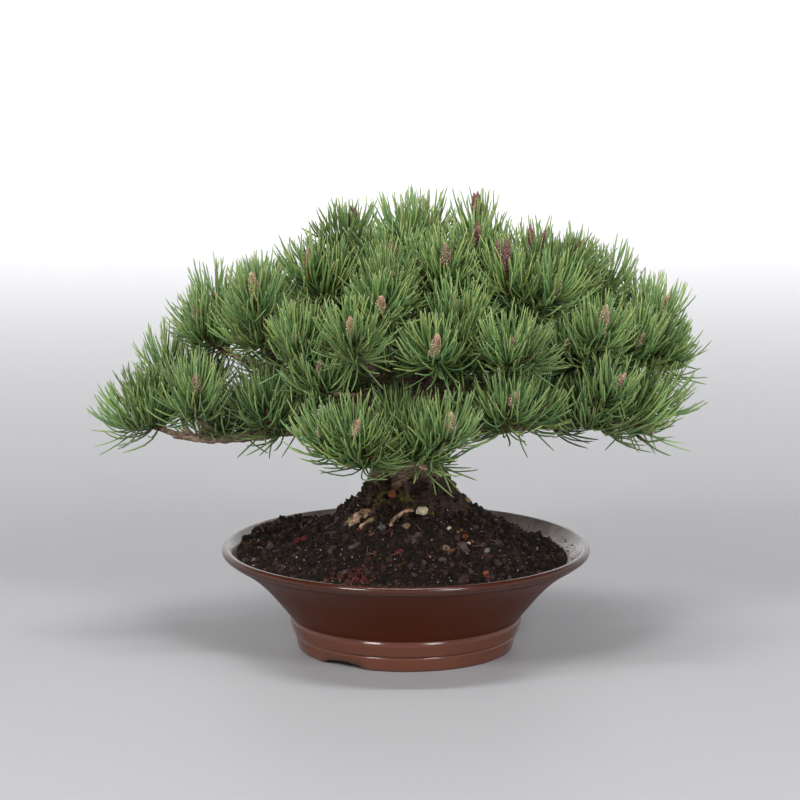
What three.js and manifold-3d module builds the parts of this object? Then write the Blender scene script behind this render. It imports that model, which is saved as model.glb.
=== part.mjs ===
// A pine grown as a bonsai, in a round flared pot filled with soil.
// Millimetres, +Z up. The viewer's side is -Y. While it is laid out, the pot's axis is X = Y = 0 and the
// surface it stands on is Z = 0. At the end the whole group is moved so that the middle of its box's
// bottom is the origin.
import * as THREE from "three";
import { mergeVertices } from "three/addons/utils/BufferGeometryUtils.js";
import Module from "manifold-3d";

// ---- Driving dimensions ----------------------------------------------------------------------------
const GAP = 0.3; // clearance between pieces that touch
const ROUND_SIDES = 28; // facets round the pot and the soil

const POT = {
  rimRadius: 150,
  height: 84,
  wall: 4.5,
  waistRadius: 93.6,
  waistHeight: 26,
  flareTop: 75.5, // height at which the flared wall meets the lip
  lipRadius: 3.6, // half the thickness of the rounded lip
  footRadius: 88.4,
  footInnerRadius: 79,
  footHeight: 12,
  bandRadius: 94.8, // of the band below the wall, at its shoulder
  bandFootRadius: 92,
  shoulderHeight: 23.5,
  floorUnderside: 6.5,
  floorTop: 12,
  floorRadius: 80,
  filletWidth: 4, // a slope between the floor and the wall inside
  filletHeight: 2,
};
const FOOT_NOTCH = { count: 3, width: 46, height: 5, firstAngle: -124.8 }; // degrees from +X
const DRAIN_HOLE = { count: 3, radius: 7, distance: 45, firstAngle: 30 };

const SOIL = { edgeRadius: 134, edgeHeight: 73.5, moundHeight: 113, moundRadius: 50, lump: 1.6 };
const SOIL_RINGS = [126, 112, 90, 64, 36, 0]; // radii of its surface's rings inside the edge

// A needle's length varies by lengthShares, and its angle to the stem from the oldest to the youngest.
const NEEDLE = {
  length: 42,
  lengthShares: [0.88, 1.05],
  radius: 1.12,
  tipRadius: 0.1,
  perShoot: 7,
  sides: 3,
  tilts: [84, 30],
  lift: 0.24,
};
// Needles of one shoot, or of one spray, may meet near their roots, up to this share of their length.
const SHARED_ROOT = 0.22;
const APART = { sameShoot: 0.4, sameSpray: 0.1, nearStem: 16, farAway: 90 };
const SHOOT = {
  stemRadius: 1.9,
  budRadius: 2.7,
  below: 20,
  sides: 4,
  thickShare: 0.77, // where the bud is thickest, as a share of the year's growth
  bareShare: 0.68, // the share of the year's growth, up to its tip, without needles
  oldNeedles: 13,
};
const SPRAY_REACH = 46; // shoots on one limb whose bases are nearer than this share a spray
const SHOOTS_PER_SPRAY = 3;
const TWIG = { radius: 2.3, thickest: 4.4, limbShare: 0.8, sides: 4, slant: 0.5 };
const FORK = { length: 6, rootRadius: 1.4 };

// The trunk's centre line and its radius, from inside the soil to the leader's tip.
const TRUNK = [
  { at: [3, 2, 66], radius: 36 },
  { at: [3, 2, 92], radius: 47 },
  { at: [4, 1, 111], radius: 53 },
  { at: [3, 0, 119], radius: 47 },
  { at: [2, 0, 129], radius: 40 },
  { at: [0, 0, 146], radius: 31 },
  { at: [0, 0, 164], radius: 24 },
  { at: [5, 1, 190], radius: 17 },
  { at: [12, 3, 222], radius: 12 },
  { at: [18, 5, 256], radius: 7.5 },
  { at: [24, 4, 290], radius: 3.6 },
];
const TRUNK_SIDES = 10;
const TRUNK_STEPS = 10;
const ROOT_LOBES = { count: 5, depth: 0.1, turn: 0.9, fullBelow: 105, goneAbove: 150 };

// Surface roots: they leave the trunk's foot on the viewer's side and soon go down into the soil.
const ROOTS = [
  { path: [[-20, -16, 107], [-38, -30, 111], [-49, -39, 107], [-58, -46, 97]], radii: [7, 3] },
  { path: [[-10, -24, 106], [-26, -39, 109], [-34, -48, 104], [-40, -56, 95]], radii: [6, 2.6] },
  { path: [[4, -28, 110], [-1, -45, 113], [-9, -53, 109], [-15, -58, 100]], radii: [4.5, 2.2] },
];
const ROOT_SIDES = 5;
const ROOT_STEPS = 3;
const LIMB_SIDES = 5;

// Limbs: centre line from inside the trunk outwards, and the radius at both ends. The leader is the
// trunk's own top. A limb with a twin is repeated on the far side.
const LIMBS = {
  low_left: {
    path: [
      [-6, -2, 165], [-45, -12, 177], [-85, -20, 184],
      [-120, -20, 180], [-154, -15, 174], [-188, -9, 177],
    ],
    radii: [11, 3.2],
  },
  mid_left: { path: [[0, 0, 188], [-50, -6, 208], [-95, -6, 226], [-130, 2, 236]], radii: [9, 2.6] },
  high_left: { path: [[10, 2, 212], [-20, -3, 243], [-46, -4, 264], [-68, -6, 274]], radii: [8, 2.6] },
  low_right: { path: [[6, 0, 172], [60, -18, 184], [110, -26, 190], [150, -33, 194]], radii: [11, 2.8] },
  mid_right: { path: [[10, 2, 204], [70, -12, 220], [120, -20, 229], [162, -12, 236]], radii: [9, 2.6] },
  high_right: { path: [[14, 4, 234], [60, -2, 260], [98, -5, 273], [126, 0, 280]], radii: [7, 2.6] },
  front_left: {
    path: [[-3, -6, 160], [-16, -36, 168], [-26, -60, 171]],
    radii: [8, 2.6],
    hasBackTwin: true,
  },
  front_centre: {
    path: [[5, -8, 168], [13, -38, 175], [19, -62, 178]],
    radii: [7, 2.6],
    hasBackTwin: true,
  },
  upper_front_left: {
    path: [[2, -4, 192], [-20, -30, 210], [-36, -46, 218]],
    radii: [7, 2.6],
    hasBackTwin: true,
  },
  upper_front: {
    path: [[8, -4, 204], [17, -34, 221], [22, -58, 230]],
    radii: [7, 2.6],
    hasBackTwin: true,
  },
  front_right: {
    path: [[8, -6, 186], [42, -34, 192], [64, -54, 192]],
    radii: [8, 2.6],
    hasBackTwin: true,
  },
  leader: { path: [[12, 3, 222], [18, 5, 256], [24, 4, 290]], radii: [10, 3.6], isTrunk: true },
};

// Shoots that the viewer's side shows: where the year's growth begins, and the tip of its bud.
const SHOOTS = {
  low_left: [
    { base: [-218, -5, 182], tip: [-235, -5, 186] },
    { base: [-194, 24, 222], tip: [-198, 27, 238] },
    { base: [-200, 10, 191], tip: [-205, 12, 207] },
    { base: [-166, -46, 211], tip: [-166, -55, 229] },
    { base: [-110, -42, 202], tip: [-112, -47, 218] },
    { base: [-82, 4, 209], tip: [-85, 4, 226] },
  ],
  mid_left: [
    { base: [-163, 0, 258], tip: [-170, 0, 277] },
    { base: [-152, 14, 273], tip: [-155, 16, 290] },
    { base: [-119, -32, 256], tip: [-133, -37, 263] },
    { base: [-118, -42, 290], tip: [-119, -49, 315] },
    { base: [-83, -68, 254], tip: [-87, -73, 270] },
  ],
  high_left: [
    { base: [-77, -17, 305], tip: [-79, -19, 325] },
    { base: [-43, 4, 328], tip: [-42, 4, 355] },
    { base: [-54, -18, 300], tip: [-56, -20, 314] },
    { base: [-13, -46, 299], tip: [-14, -53, 313] },
    { base: [-20, -70, 284], tip: [-21, -80, 299] },
    { base: [-8, -24, 314], tip: [-11, -26, 333] },
  ],
  front_left: [
    { base: [-65, -96, 189], tip: [-67, -103, 202] },
    { base: [-41, -110, 193], tip: [-37, -117, 212] },
    { base: [-7, -76, 193], tip: [-6, -82, 207] },
    { base: [-33, -88, 173], tip: [-49, -93, 169] },
  ],
  front_centre: [
    { base: [34, -114, 197], tip: [35, -122, 217] },
    { base: [5, -94, 176], tip: [15, -104, 167] },
    { base: [14, -90, 183], tip: [21, -104, 190] },
  ],
  upper_front_left: [
    { base: [-65, -80, 231], tip: [-67, -88, 246] },
    { base: [-41, -90, 266], tip: [-44, -98, 284] },
    { base: [-12, -46, 246], tip: [-12, -49, 263] },
  ],
  upper_front: [
    { base: [21, -98, 254], tip: [23, -106, 273] },
    { base: [38, -66, 279], tip: [37, -70, 294] },
    { base: [47, -57, 276], tip: [48, -61, 292] },
    { base: [50, -57, 240], tip: [55, -62, 255] },
  ],
  front_right: [
    { base: [80, -100, 215], tip: [86, -108, 230] },
    { base: [100, -68, 205], tip: [113, -73, 214] },
    { base: [79, -92, 257], tip: [80, -99, 269] },
    { base: [68, -54, 248], tip: [66, -58, 264] },
  ],
  leader: [
    { base: [15, 10, 338], tip: [14, 10, 367] },
    { base: [-1, -12, 333], tip: [-5, -12, 349] },
    { base: [31, -42, 310], tip: [30, -47, 332] },
    { base: [15, -32, 306], tip: [13, -36, 322] },
  ],
  high_right: [
    { base: [58, 0, 336], tip: [57, 0, 366] },
    { base: [66, -7, 316], tip: [64, -7, 342] },
    { base: [53, -24, 317], tip: [56, -27, 343] },
    { base: [77, -46, 304], tip: [77, -52, 332] },
    { base: [100, -18, 314], tip: [104, -21, 341] },
    { base: [132, -2, 307], tip: [138, -2, 327] },
    { base: [114, -47, 291], tip: [120, -52, 306] },
    { base: [163, 13, 290], tip: [167, 15, 306] },
  ],
  mid_right: [
    { base: [151, -68, 266], tip: [153, -75, 292] },
    { base: [126, -55, 250], tip: [125, -63, 263] },
    { base: [201, -12, 269], tip: [214, -14, 290] },
    { base: [189, 13, 268], tip: [190, 16, 285] },
    { base: [204, -18, 237], tip: [219, -20, 245] },
    { base: [178, -42, 249], tip: [187, -47, 265] },
  ],
  low_right: [
    { base: [159, -76, 223], tip: [168, -84, 242] },
    { base: [195, -39, 204], tip: [213, -41, 209] },
    { base: [180, -60, 195], tip: [196, -66, 191] },
    { base: [133, -62, 201], tip: [147, -69, 213] },
  ],
};

// The shoots above are laid out close to the middle plane. The crown is deeper than that, most of all
// in its upper half, which makes it a dome. viewSlope is how far a place sinks in the viewer's eyes as it
// comes nearer: each shoot is raised by as much, so that it is still seen where it was laid out.
const CROWN = { depth: 1.12, upperDepth: 0.5, upperFrom: 225, upperTo: 320, viewSlope: 0.19 };

// The far side can't be seen. It repeats the near side's shoots, seen as in a mirror that faces the
// viewer, and lower, as the crown leans a little towards the viewer.
const BACK = {
  nearest: 57, // shoots nearer to the middle than this have no twin
  depthShare: 0.96,
  lowest: 186,
  heightShare: 0.84,
  sideShift: 7,
};

// ---- Helpers ---------------------------------------------------------------------------------------
const wasm = await Module();
wasm.setup();

const vec = ([x, y, z]) => new THREE.Vector3(x, y, z);
const { clamp, lerp, smoothstep, degToRad: radians } = THREE.MathUtils;

// Seeded random numbers from 0 to 1.
function randomFrom(seed) {
  let state = seed >>> 0;
  return () => {
    state = (state + 0x6d2b79f5) >>> 0;
    let mixed = Math.imul(state ^ (state >>> 15), 1 | state);
    mixed = (mixed + Math.imul(mixed ^ (mixed >>> 7), 61 | mixed)) ^ mixed;
    return ((mixed ^ (mixed >>> 14)) >>> 0) / 4294967296;
  };
}

function solidOf(geometry) {
  const bare = geometry.clone();
  bare.deleteAttribute("normal");
  bare.deleteAttribute("uv");
  const merged = mergeVertices(bare, 1e-4);
  return new wasm.Manifold(
    new wasm.Mesh({
      numProp: 3,
      vertProperties: merged.attributes.position.array,
      triVerts: new Uint32Array(merged.index.array),
    }),
  );
}

function geometryOf(solid) {
  const { vertProperties, triVerts } = solid.getMesh();
  const geometry = new THREE.BufferGeometry();
  geometry.setAttribute("position", new THREE.BufferAttribute(vertProperties, 3));
  geometry.setIndex(new THREE.BufferAttribute(triVerts, 1));
  geometry.computeVertexNormals();
  return geometry;
}

// Without the loose scraps that cutting or joining left over.
function largestBody(solid) {
  return solid.decompose().sort((p, q) => q.volume() - p.volume())[0];
}

// A closed tapering tube: a cylinder whose rings are laid on a curve. shape(u, angle) gives the radius.
function tubeGeometry(curve, shape, sides, steps) {
  const tube = new THREE.CylinderGeometry(1, 1, 1, sides, steps);
  const frames = curve.computeFrenetFrames(steps, false);
  const points = curve.getSpacedPoints(steps);
  const place = tube.attributes.position;
  for (let i = 0; i < place.count; i++) {
    const ring = Math.round((0.5 + place.getY(i)) * steps);
    const radius = Math.hypot(place.getX(i), place.getZ(i));
    const angle = Math.atan2(place.getZ(i), place.getX(i));
    const reach = radius * shape(ring / steps, angle);
    const at = points[ring]
      .clone()
      .addScaledVector(frames.normals[ring], -reach * Math.cos(angle))
      .addScaledVector(frames.binormals[ring], reach * Math.sin(angle));
    place.setXYZ(i, at.x, at.y, at.z);
  }
  return tube;
}

const smoothCurve = (places) => new THREE.CatmullRomCurve3(places.map(vec));

// Closest distance of two segments, less their radii there.
function clearance(one, other) {
  const u = one.b.clone().sub(one.a);
  const v = other.b.clone().sub(other.a);
  const w = one.a.clone().sub(other.a);
  const uu = u.dot(u);
  const uv = u.dot(v);
  const vv = v.dot(v);
  const uw = u.dot(w);
  const vw = v.dot(w);
  const square = uu * vv - uv * uv;
  let s = square > 1e-9 ? clamp((uv * vw - vv * uw) / square, 0, 1) : 0;
  const t = clamp((uv * s + vw) / vv, 0, 1);
  s = clamp((uv * t - uw) / uu, 0, 1);
  const apart = w.addScaledVector(u, s).addScaledVector(v, -t).length();
  const radiusOne = lerp(one.ra, one.rb, s);
  const radiusOther = lerp(other.ra, other.rb, t);
  return apart - radiusOne - radiusOther;
}

// Everything that needles must stay clear of: short stretches of wood and stem, and other needles.
const stretches = [];
function addStretches(owner, curve, shape, steps) {
  const points = curve.getSpacedPoints(steps);
  for (let i = 0; i < steps; i++) {
    stretches.push({
      owner,
      a: points[i],
      b: points[i + 1],
      ra: shape(i / steps),
      rb: shape((i + 1) / steps),
    });
  }
}

// ---- Pot -------------------------------------------------------------------------------------------
// The flared wall: almost straight, then opening out to the lip. u runs from the waist up to the lip.
const LIP_CENTRE = { r: POT.rimRadius - POT.lipRadius, z: POT.height - POT.lipRadius };
function wallPoint(u, inwards) {
  const width = LIP_CENTRE.r - POT.waistRadius;
  const rise = POT.flareTop - POT.waistHeight;
  const r = POT.waistRadius + width * (0.75 * u + 0.25 * u ** 4);
  const z = POT.waistHeight + rise * u;
  const slope = (width * (0.75 + u ** 3)) / rise;
  const turn = Math.hypot(1, slope);
  return new THREE.Vector2(r - inwards / turn, z + (inwards * slope) / turn);
}

const WALL_STEPS = [0, 0.45, 0.75, 0.97];
const LIP_ANGLES = [-55, 0, 55, 110];

function makePot() {
  const { footRadius, footHeight, bandRadius, bandFootRadius, shoulderHeight } = POT;
  const profile = [
    [0, POT.floorUnderside],
    [POT.footInnerRadius, POT.floorUnderside],
    [POT.footInnerRadius + 0.8, 0],
    [footRadius, 0],
    [footRadius + 2, footHeight - 1],
    [footRadius + 1.4, footHeight],
    [bandFootRadius, footHeight + 1.2],
    [bandRadius, shoulderHeight],
    [POT.waistRadius - 0.4, POT.waistHeight - 0.2],
  ].map(([r, z]) => new THREE.Vector2(r, z));
  WALL_STEPS.forEach((u) => profile.push(wallPoint(u, 0)));
  LIP_ANGLES.forEach((degrees) => {
    const angle = radians(degrees);
    profile.push(
      new THREE.Vector2(
        LIP_CENTRE.r + POT.lipRadius * Math.cos(angle),
        LIP_CENTRE.z + POT.lipRadius * Math.sin(angle),
      ),
    );
  });
  [...WALL_STEPS].reverse().forEach((u) => profile.push(wallPoint(u, POT.wall)));
  const { floorRadius, floorTop, filletWidth, filletHeight } = POT;
  profile.push(new THREE.Vector2(floorRadius + filletWidth, floorTop + filletHeight));
  profile.push(new THREE.Vector2(floorRadius, floorTop));
  profile.push(new THREE.Vector2(0, floorTop));
  let pot = solidOf(latheUpright(profile));

  // Low arches cut through the foot ring, so that water can run off.
  const { count, width, height, firstAngle } = FOOT_NOTCH;
  const archRadius = ((width / 2) ** 2 + height ** 2) / (2 * height);
  const through = 3 * (footRadius - POT.footInnerRadius);
  for (let i = 0; i < count; i++) {
    const arch = new THREE.CylinderGeometry(archRadius, archRadius, through, 24);
    arch.translate(0, (POT.footInnerRadius + footRadius) / 2, 0);
    arch.rotateZ(-Math.PI / 2);
    arch.translate(0, 0, height - archRadius);
    arch.rotateZ(radians(firstAngle + (i * 360) / count));
    pot = pot.subtract(solidOf(arch));
  }
  for (let i = 0; i < DRAIN_HOLE.count; i++) {
    const hole = new THREE.CylinderGeometry(DRAIN_HOLE.radius, DRAIN_HOLE.radius, 4 * POT.wall, 8);
    hole.rotateX(Math.PI / 2);
    hole.translate(DRAIN_HOLE.distance, 0, POT.floorTop - POT.wall);
    hole.rotateZ(radians(DRAIN_HOLE.firstAngle + (i * 360) / DRAIN_HOLE.count));
    pot = pot.subtract(solidOf(hole));
  }
  return pot;
}

// A lathe round the Z axis. The profile runs outwards at the bottom and comes back over the top.
function latheUpright(profile) {
  const lathe = new THREE.LatheGeometry(profile, ROUND_SIDES);
  lathe.rotateX(Math.PI / 2);
  return lathe;
}

// ---- Wood ------------------------------------------------------------------------------------------
const trunkCurve = smoothCurve(TRUNK.map((ring) => ring.at));

// The trunk's radius at a height and in a direction round it. It swells over the main roots low down.
function trunkRadius(height, angle) {
  const above = TRUNK.findIndex((ring) => ring.at[2] >= height);
  const upper = TRUNK[above < 0 ? TRUNK.length - 1 : Math.max(above, 1)];
  const lower = TRUNK[TRUNK.indexOf(upper) - 1];
  const share = clamp((height - lower.at[2]) / (upper.at[2] - lower.at[2]), 0, 1);
  const radius = lerp(lower.radius, upper.radius, share);
  const low = 1 - smoothstep(height, ROOT_LOBES.fullBelow, ROOT_LOBES.goneAbove);
  return radius * (1 + ROOT_LOBES.depth * low * Math.cos(ROOT_LOBES.count * angle + ROOT_LOBES.turn));
}

function makeTrunk(extra) {
  const heights = trunkCurve.getSpacedPoints(TRUNK_STEPS).map((p) => p.z);
  const shape = (u, angle) => trunkRadius(heights[Math.round(u * TRUNK_STEPS)], angle) + extra;
  return solidOf(tubeGeometry(trunkCurve, shape, TRUNK_SIDES, TRUNK_STEPS));
}

// extra makes the root thicker and longer, for the hollow that it lies in.
function makeRoot(root, extra) {
  const path = smoothCurve(root.path);
  const end = path.getPoint(1).addScaledVector(path.getTangent(1), extra);
  const curve = smoothCurve([...root.path.slice(0, -1), end.toArray()]);
  const [from, to] = root.radii;
  const shape = (u) => lerp(from, to, u) + extra;
  return solidOf(tubeGeometry(curve, shape, ROOT_SIDES, ROOT_STEPS));
}

const limbRadius = (limb, u) => lerp(limb.radii[0], limb.radii[1], u ** 0.7);

function makeLimb(limb) {
  const shape = (u) => limbRadius(limb, u);
  const steps = limb.path.length;
  addStretches("wood", limb.curve, shape, steps);
  return solidOf(tubeGeometry(limb.curve, shape, LIMB_SIDES, steps));
}

// A twig leaves its limb a little before the place nearest to the spray, and ends square, a gap short
// of the spray, which goes on in the same direction.
function makeTwig(spray) {
  const { curve } = spray.limb;
  const near = closestOn(curve, spray.start);
  const apart = near.point.distanceTo(spray.start);
  const leaves = Math.max(0.04, near.share - (TWIG.slant * apart) / curve.getLength());
  const from = curve.getPointAt(leaves);
  spray.direction = spray.start.clone().sub(from).normalize();
  const twig = new THREE.LineCurve3(from, spray.start.clone().addScaledVector(spray.direction, -GAP));
  const thick = Math.min(limbRadius(spray.limb, leaves) * TWIG.limbShare, TWIG.thickest);
  const shape = (u) => lerp(thick, TWIG.radius, u);
  addStretches("wood", twig, shape, 1);
  return solidOf(tubeGeometry(twig, shape, TWIG.sides, 1));
}

// The place on a curve that is closest to a point, and its share of the curve's length.
function closestOn(curve, point) {
  const samples = 40;
  return curve
    .getSpacedPoints(samples)
    .map((place, i) => ({ point: place, share: i / samples }))
    .reduce((best, here) => (here.point.distanceTo(point) < best.point.distanceTo(point) ? here : best));
}

// ---- Sprays ----------------------------------------------------------------------------------------
function deepened([x, y, z]) {
  const { depth, upperDepth, upperFrom, upperTo, viewSlope } = CROWN;
  const stretch = depth + upperDepth * smoothstep(z, upperFrom, upperTo);
  return [x, y * stretch, z - viewSlope * (stretch - 1) * y];
}

function deepenCrown() {
  for (const limb of Object.values(LIMBS)) limb.path = limb.path.map(deepened);
  for (const shoots of Object.values(SHOOTS)) {
    shoots.forEach((shoot) => {
      shoot.base = deepened(shoot.base);
      shoot.tip = deepened(shoot.tip);
    });
  }
}

// The far side's limbs and shoots, from the near side's.
function behind([x, y, z], shift) {
  const share = Math.max(0, (z - BACK.lowest) * BACK.heightShare);
  const height = z > BACK.lowest ? BACK.lowest + share : z;
  return [x + shift, -y * BACK.depthShare, height];
}

function addFarSide() {
  const random = randomFrom(11);
  for (const [name, shoots] of Object.entries({ ...SHOOTS })) {
    const limb = LIMBS[name];
    const twinName = limb.hasBackTwin ? name.replace("front", "back") : name;
    const limbShift = limb.hasBackTwin ? BACK.sideShift : 0;
    if (limb.hasBackTwin) {
      LIMBS[twinName] = { path: limb.path.map((p) => behind(p, limbShift)), radii: limb.radii };
      LIMBS[twinName].path[0][0] -= limbShift;
    }
    const twins = shoots
      .filter(({ tip }) => tip[1] < -BACK.nearest)
      .map(({ base, tip }) => {
        const shift = limbShift + (random() - 0.5) * BACK.sideShift;
        const lean = (random() - 0.5) * BACK.sideShift;
        return { base: behind(base, shift), tip: behind(tip, shift + lean) };
      });
    SHOOTS[twinName] = twinName === name ? [...shoots, ...twins] : twins;
  }
}

// Neighbouring shoots of one limb make one spray.
function groupShoots(name) {
  const limb = LIMBS[name];
  const left = SHOOTS[name].map(({ base, tip }) => ({ base: vec(base), tip: vec(tip) }));
  const sprays = [];
  while (left.length) {
    const shoots = [left.shift()];
    while (shoots.length < SHOOTS_PER_SPRAY) {
      const near = left
        .map((shoot) => {
          const distances = shoots.map((s) => s.base.distanceTo(shoot.base));
          return { shoot, apart: Math.max(...distances) };
        })
        .sort((p, q) => p.apart - q.apart)[0];
      if (!near || near.apart > SPRAY_REACH) break;
      shoots.push(left.splice(left.indexOf(near.shoot), 1)[0]);
    }
    const middle = new THREE.Vector3();
    const heading = new THREE.Vector3();
    shoots.forEach((s) => {
      middle.addScaledVector(s.base, 1 / shoots.length);
      heading.add(s.tip.clone().sub(s.base).normalize());
    });
    const carrier = closestOn(limb.curve, middle).point;
    const outwards = middle.clone().sub(carrier);
    const spread = Math.max(...shoots.map((s) => s.base.distanceTo(middle)));
    const room = Math.max(1, outwards.length() - limb.radii[0] * 0.6 - 8);
    const below = Math.min(SHOOT.below + spread * 0.8, room);
    const direction = heading.normalize().add(outwards.normalize()).normalize();
    const start = middle.addScaledVector(direction, -below);
    sprays.push({ name: `spray_${name}_${sprays.length + 1}`, limb, shoots, start, direction });
  }
  return sprays;
}

// The stem of one shoot, from the spray's start through the shoot's base to the tip of its bud, in
// straight stretches. Each knot is a place and the stem's radius there.
function stemKnots(spray, shoot) {
  const onBud = (share) => shoot.base.clone().lerp(shoot.tip, share);
  const along = (distance) => spray.start.clone().addScaledVector(spray.direction, distance);
  const order = spray.shoots.indexOf(shoot);
  const knots = [];
  if (order === 0) {
    knots.push({ at: along(0), radius: TWIG.radius });
    if (spray.shoots.length > 1) knots.push({ at: along(FORK.length), radius: TWIG.radius });
  } else {
    // A side stem starts inside the straight stretch that all of them share.
    knots.push({ at: along((FORK.length * order) / SHOOTS_PER_SPRAY), radius: FORK.rootRadius });
  }
  knots.push({ at: shoot.base, radius: SHOOT.stemRadius });
  knots.push({ at: onBud(SHOOT.thickShare), radius: SHOOT.budRadius });
  knots.push({ at: shoot.tip, radius: 0 });
  return knots;
}

function makeStem(spray, shoot) {
  const knots = stemKnots(spray, shoot);
  const steps = knots.length - 1;
  const tangents = knots.map((knot, i) => {
    const before = knots[Math.max(i - 1, 0)].at;
    const after = knots[Math.min(i + 1, steps)].at;
    return after.clone().sub(before).normalize();
  });
  if (spray.shoots[0] === shoot) tangents[0].copy(spray.direction);
  const curve = {
    getSpacedPoints: () => knots.map((knot) => knot.at),
    computeFrenetFrames: () => shoot.frames,
  };
  shoot.knots = knots;
  shoot.frames = framesAlong(tangents);
  knots.slice(1).forEach((knot, i) => {
    const { at, radius } = knots[i];
    stretches.push({ owner: spray.name, a: at, b: knot.at, ra: radius, rb: knot.radius });
  });
  const shape = (u) => knots[Math.round(u * steps)].radius;
  return solidOf(tubeGeometry(curve, shape, SHOOT.sides, steps));
}

// The place on a shoot's stem at a distance from the bud's tip, and the directions round it.
function placeOnStem(shoot, fromTip) {
  const { knots, frames } = shoot;
  let left = fromTip;
  let i = knots.length - 1;
  while (i > 1 && left > knots[i].at.distanceTo(knots[i - 1].at)) {
    left -= knots[i].at.distanceTo(knots[i - 1].at);
    i -= 1;
  }
  const stretch = knots[i - 1].at.clone().sub(knots[i].at);
  const share = Math.min(left / stretch.length(), 0.9);
  return {
    at: knots[i].at.clone().addScaledVector(stretch, share),
    along: stretch.normalize().negate(),
    normal: frames.normals[i - 1],
    binormal: frames.binormals[i - 1],
  };
}

// Normals and binormals that don't twist, for rings at the given tangents.
function framesAlong(tangents) {
  const normals = [];
  const binormals = [];
  const upish = Math.abs(tangents[0].z) < 0.9 ? new THREE.Vector3(0, 0, 1) : new THREE.Vector3(1, 0, 0);
  let normal = upish.clone().cross(tangents[0]).normalize();
  tangents.forEach((tangent) => {
    const binormal = tangent.clone().cross(normal).normalize();
    normal = binormal.clone().cross(tangent).normalize();
    normals.push(normal.clone());
    binormals.push(binormal);
  });
  return { normals, binormals };
}

const TRIES = 60;
const FACE_ORDER = [0, 2, 1, 3]; // neighbours along a stem leave it through opposite faces

// Needles stand round the stem from below the shoot's base up to its bud, closer to it towards the tip.
// Each leaves the four-sided stem through the middle of one of its faces.
function makeNeedles(spray, shoot, random) {
  const needles = [];
  const grown = shoot.base.distanceTo(shoot.tip);
  for (let i = 0; i < NEEDLE.perShoot; i++) {
    const share = (i + 0.5) / NEEDLE.perShoot;
    const oldest = grown + SHOOT.oldNeedles;
    const youngest = grown * SHOOT.bareShare;
    const { at, along, normal, binormal } = placeOnStem(shoot, lerp(oldest, youngest, share));
    const face = (FACE_ORDER[i % FACE_ORDER.length] + 0.5) * (Math.PI / 2);
    const tilt = radians(lerp(...NEEDLE.tilts, share ** 0.8));
    const length = NEEDLE.length * lerp(...NEEDLE.lengthShares, random());
    for (let attempt = 0; attempt < TRIES; attempt++) {
      const loose = attempt / TRIES;
      const angle = face + (random() - 0.5) * (0.5 + 2 * loose);
      const lean = tilt + (random() - 0.5) * (0.12 + 0.7 * loose);
      const direction = along
        .clone()
        .multiplyScalar(Math.cos(lean))
        .addScaledVector(normal, Math.sin(lean) * Math.cos(angle))
        .addScaledVector(binormal, Math.sin(lean) * Math.sin(angle));
      direction.z += NEEDLE.lift * Math.sin(lean);
      direction.normalize();
      const needle = {
        owner: spray.name,
        isNeedle: true,
        a: at.clone(),
        b: at.clone().addScaledVector(direction, length),
        ra: NEEDLE.radius,
        rb: NEEDLE.tipRadius,
        shoot,
      };
      if (!isFree(needle)) continue;
      stretches.push(needle);
      const cone = new THREE.ConeGeometry(NEEDLE.radius, length, NEEDLE.sides);
      cone.rotateY(random() * 2 * Math.PI);
      cone.translate(0, length / 2, 0);
      const turn = new THREE.Quaternion().setFromUnitVectors(new THREE.Vector3(0, 1, 0), direction);
      cone.applyQuaternion(turn);
      cone.translate(at.x, at.y, at.z);
      needles.push(solidOf(cone));
      break;
    }
  }
  return needles;
}

// A needle without the part at its root.
const outerPart = (needle) => ({ ...needle, a: needle.a.clone().lerp(needle.b, SHARED_ROOT) });

function isFree(needle) {
  const outer = outerPart(needle);
  return stretches.every((other) => {
    if (other.a.distanceTo(needle.a) > APART.farAway) return true;
    if (other.owner !== needle.owner) return clearance(needle, other) > GAP;
    if (other.shoot === needle.shoot && other.isNeedle) return clearance(outer, other) > APART.sameShoot;
    if (other.isNeedle) return clearance(outer, outerPart(other)) > APART.sameSpray;
    return other.b.distanceTo(needle.a) < APART.nearStem || clearance(outer, other) > APART.sameSpray;
  });
}

// ---- Soil ------------------------------------------------------------------------------------------
// Height of the soil's surface: a mound round the trunk, fuller on the right, with lumps.
function soilHeight(x, y) {
  const { edgeRadius, edgeHeight, moundHeight, moundRadius, lump } = SOIL;
  const r = Math.hypot(x, y);
  const u = clamp((edgeRadius - r) / (edgeRadius - moundRadius), 0, 1);
  const fullness = 1 + 0.25 * Math.cos(Math.atan2(y, x) + 0.5) * Math.sin(Math.PI * u);
  const mound = (moundHeight - edgeHeight) * fullness * (0.45 * u + 0.55 * u * u);
  const lumps = Math.sin(x / 8.5 + 1.3) * Math.sin(y / 7.5) + 0.6 * Math.sin((x - y) / 5 + 2);
  const insideEdge = Math.min(1, u * 9);
  return edgeHeight + mound + insideEdge * (2.2 + lump * lumps);
}

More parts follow.
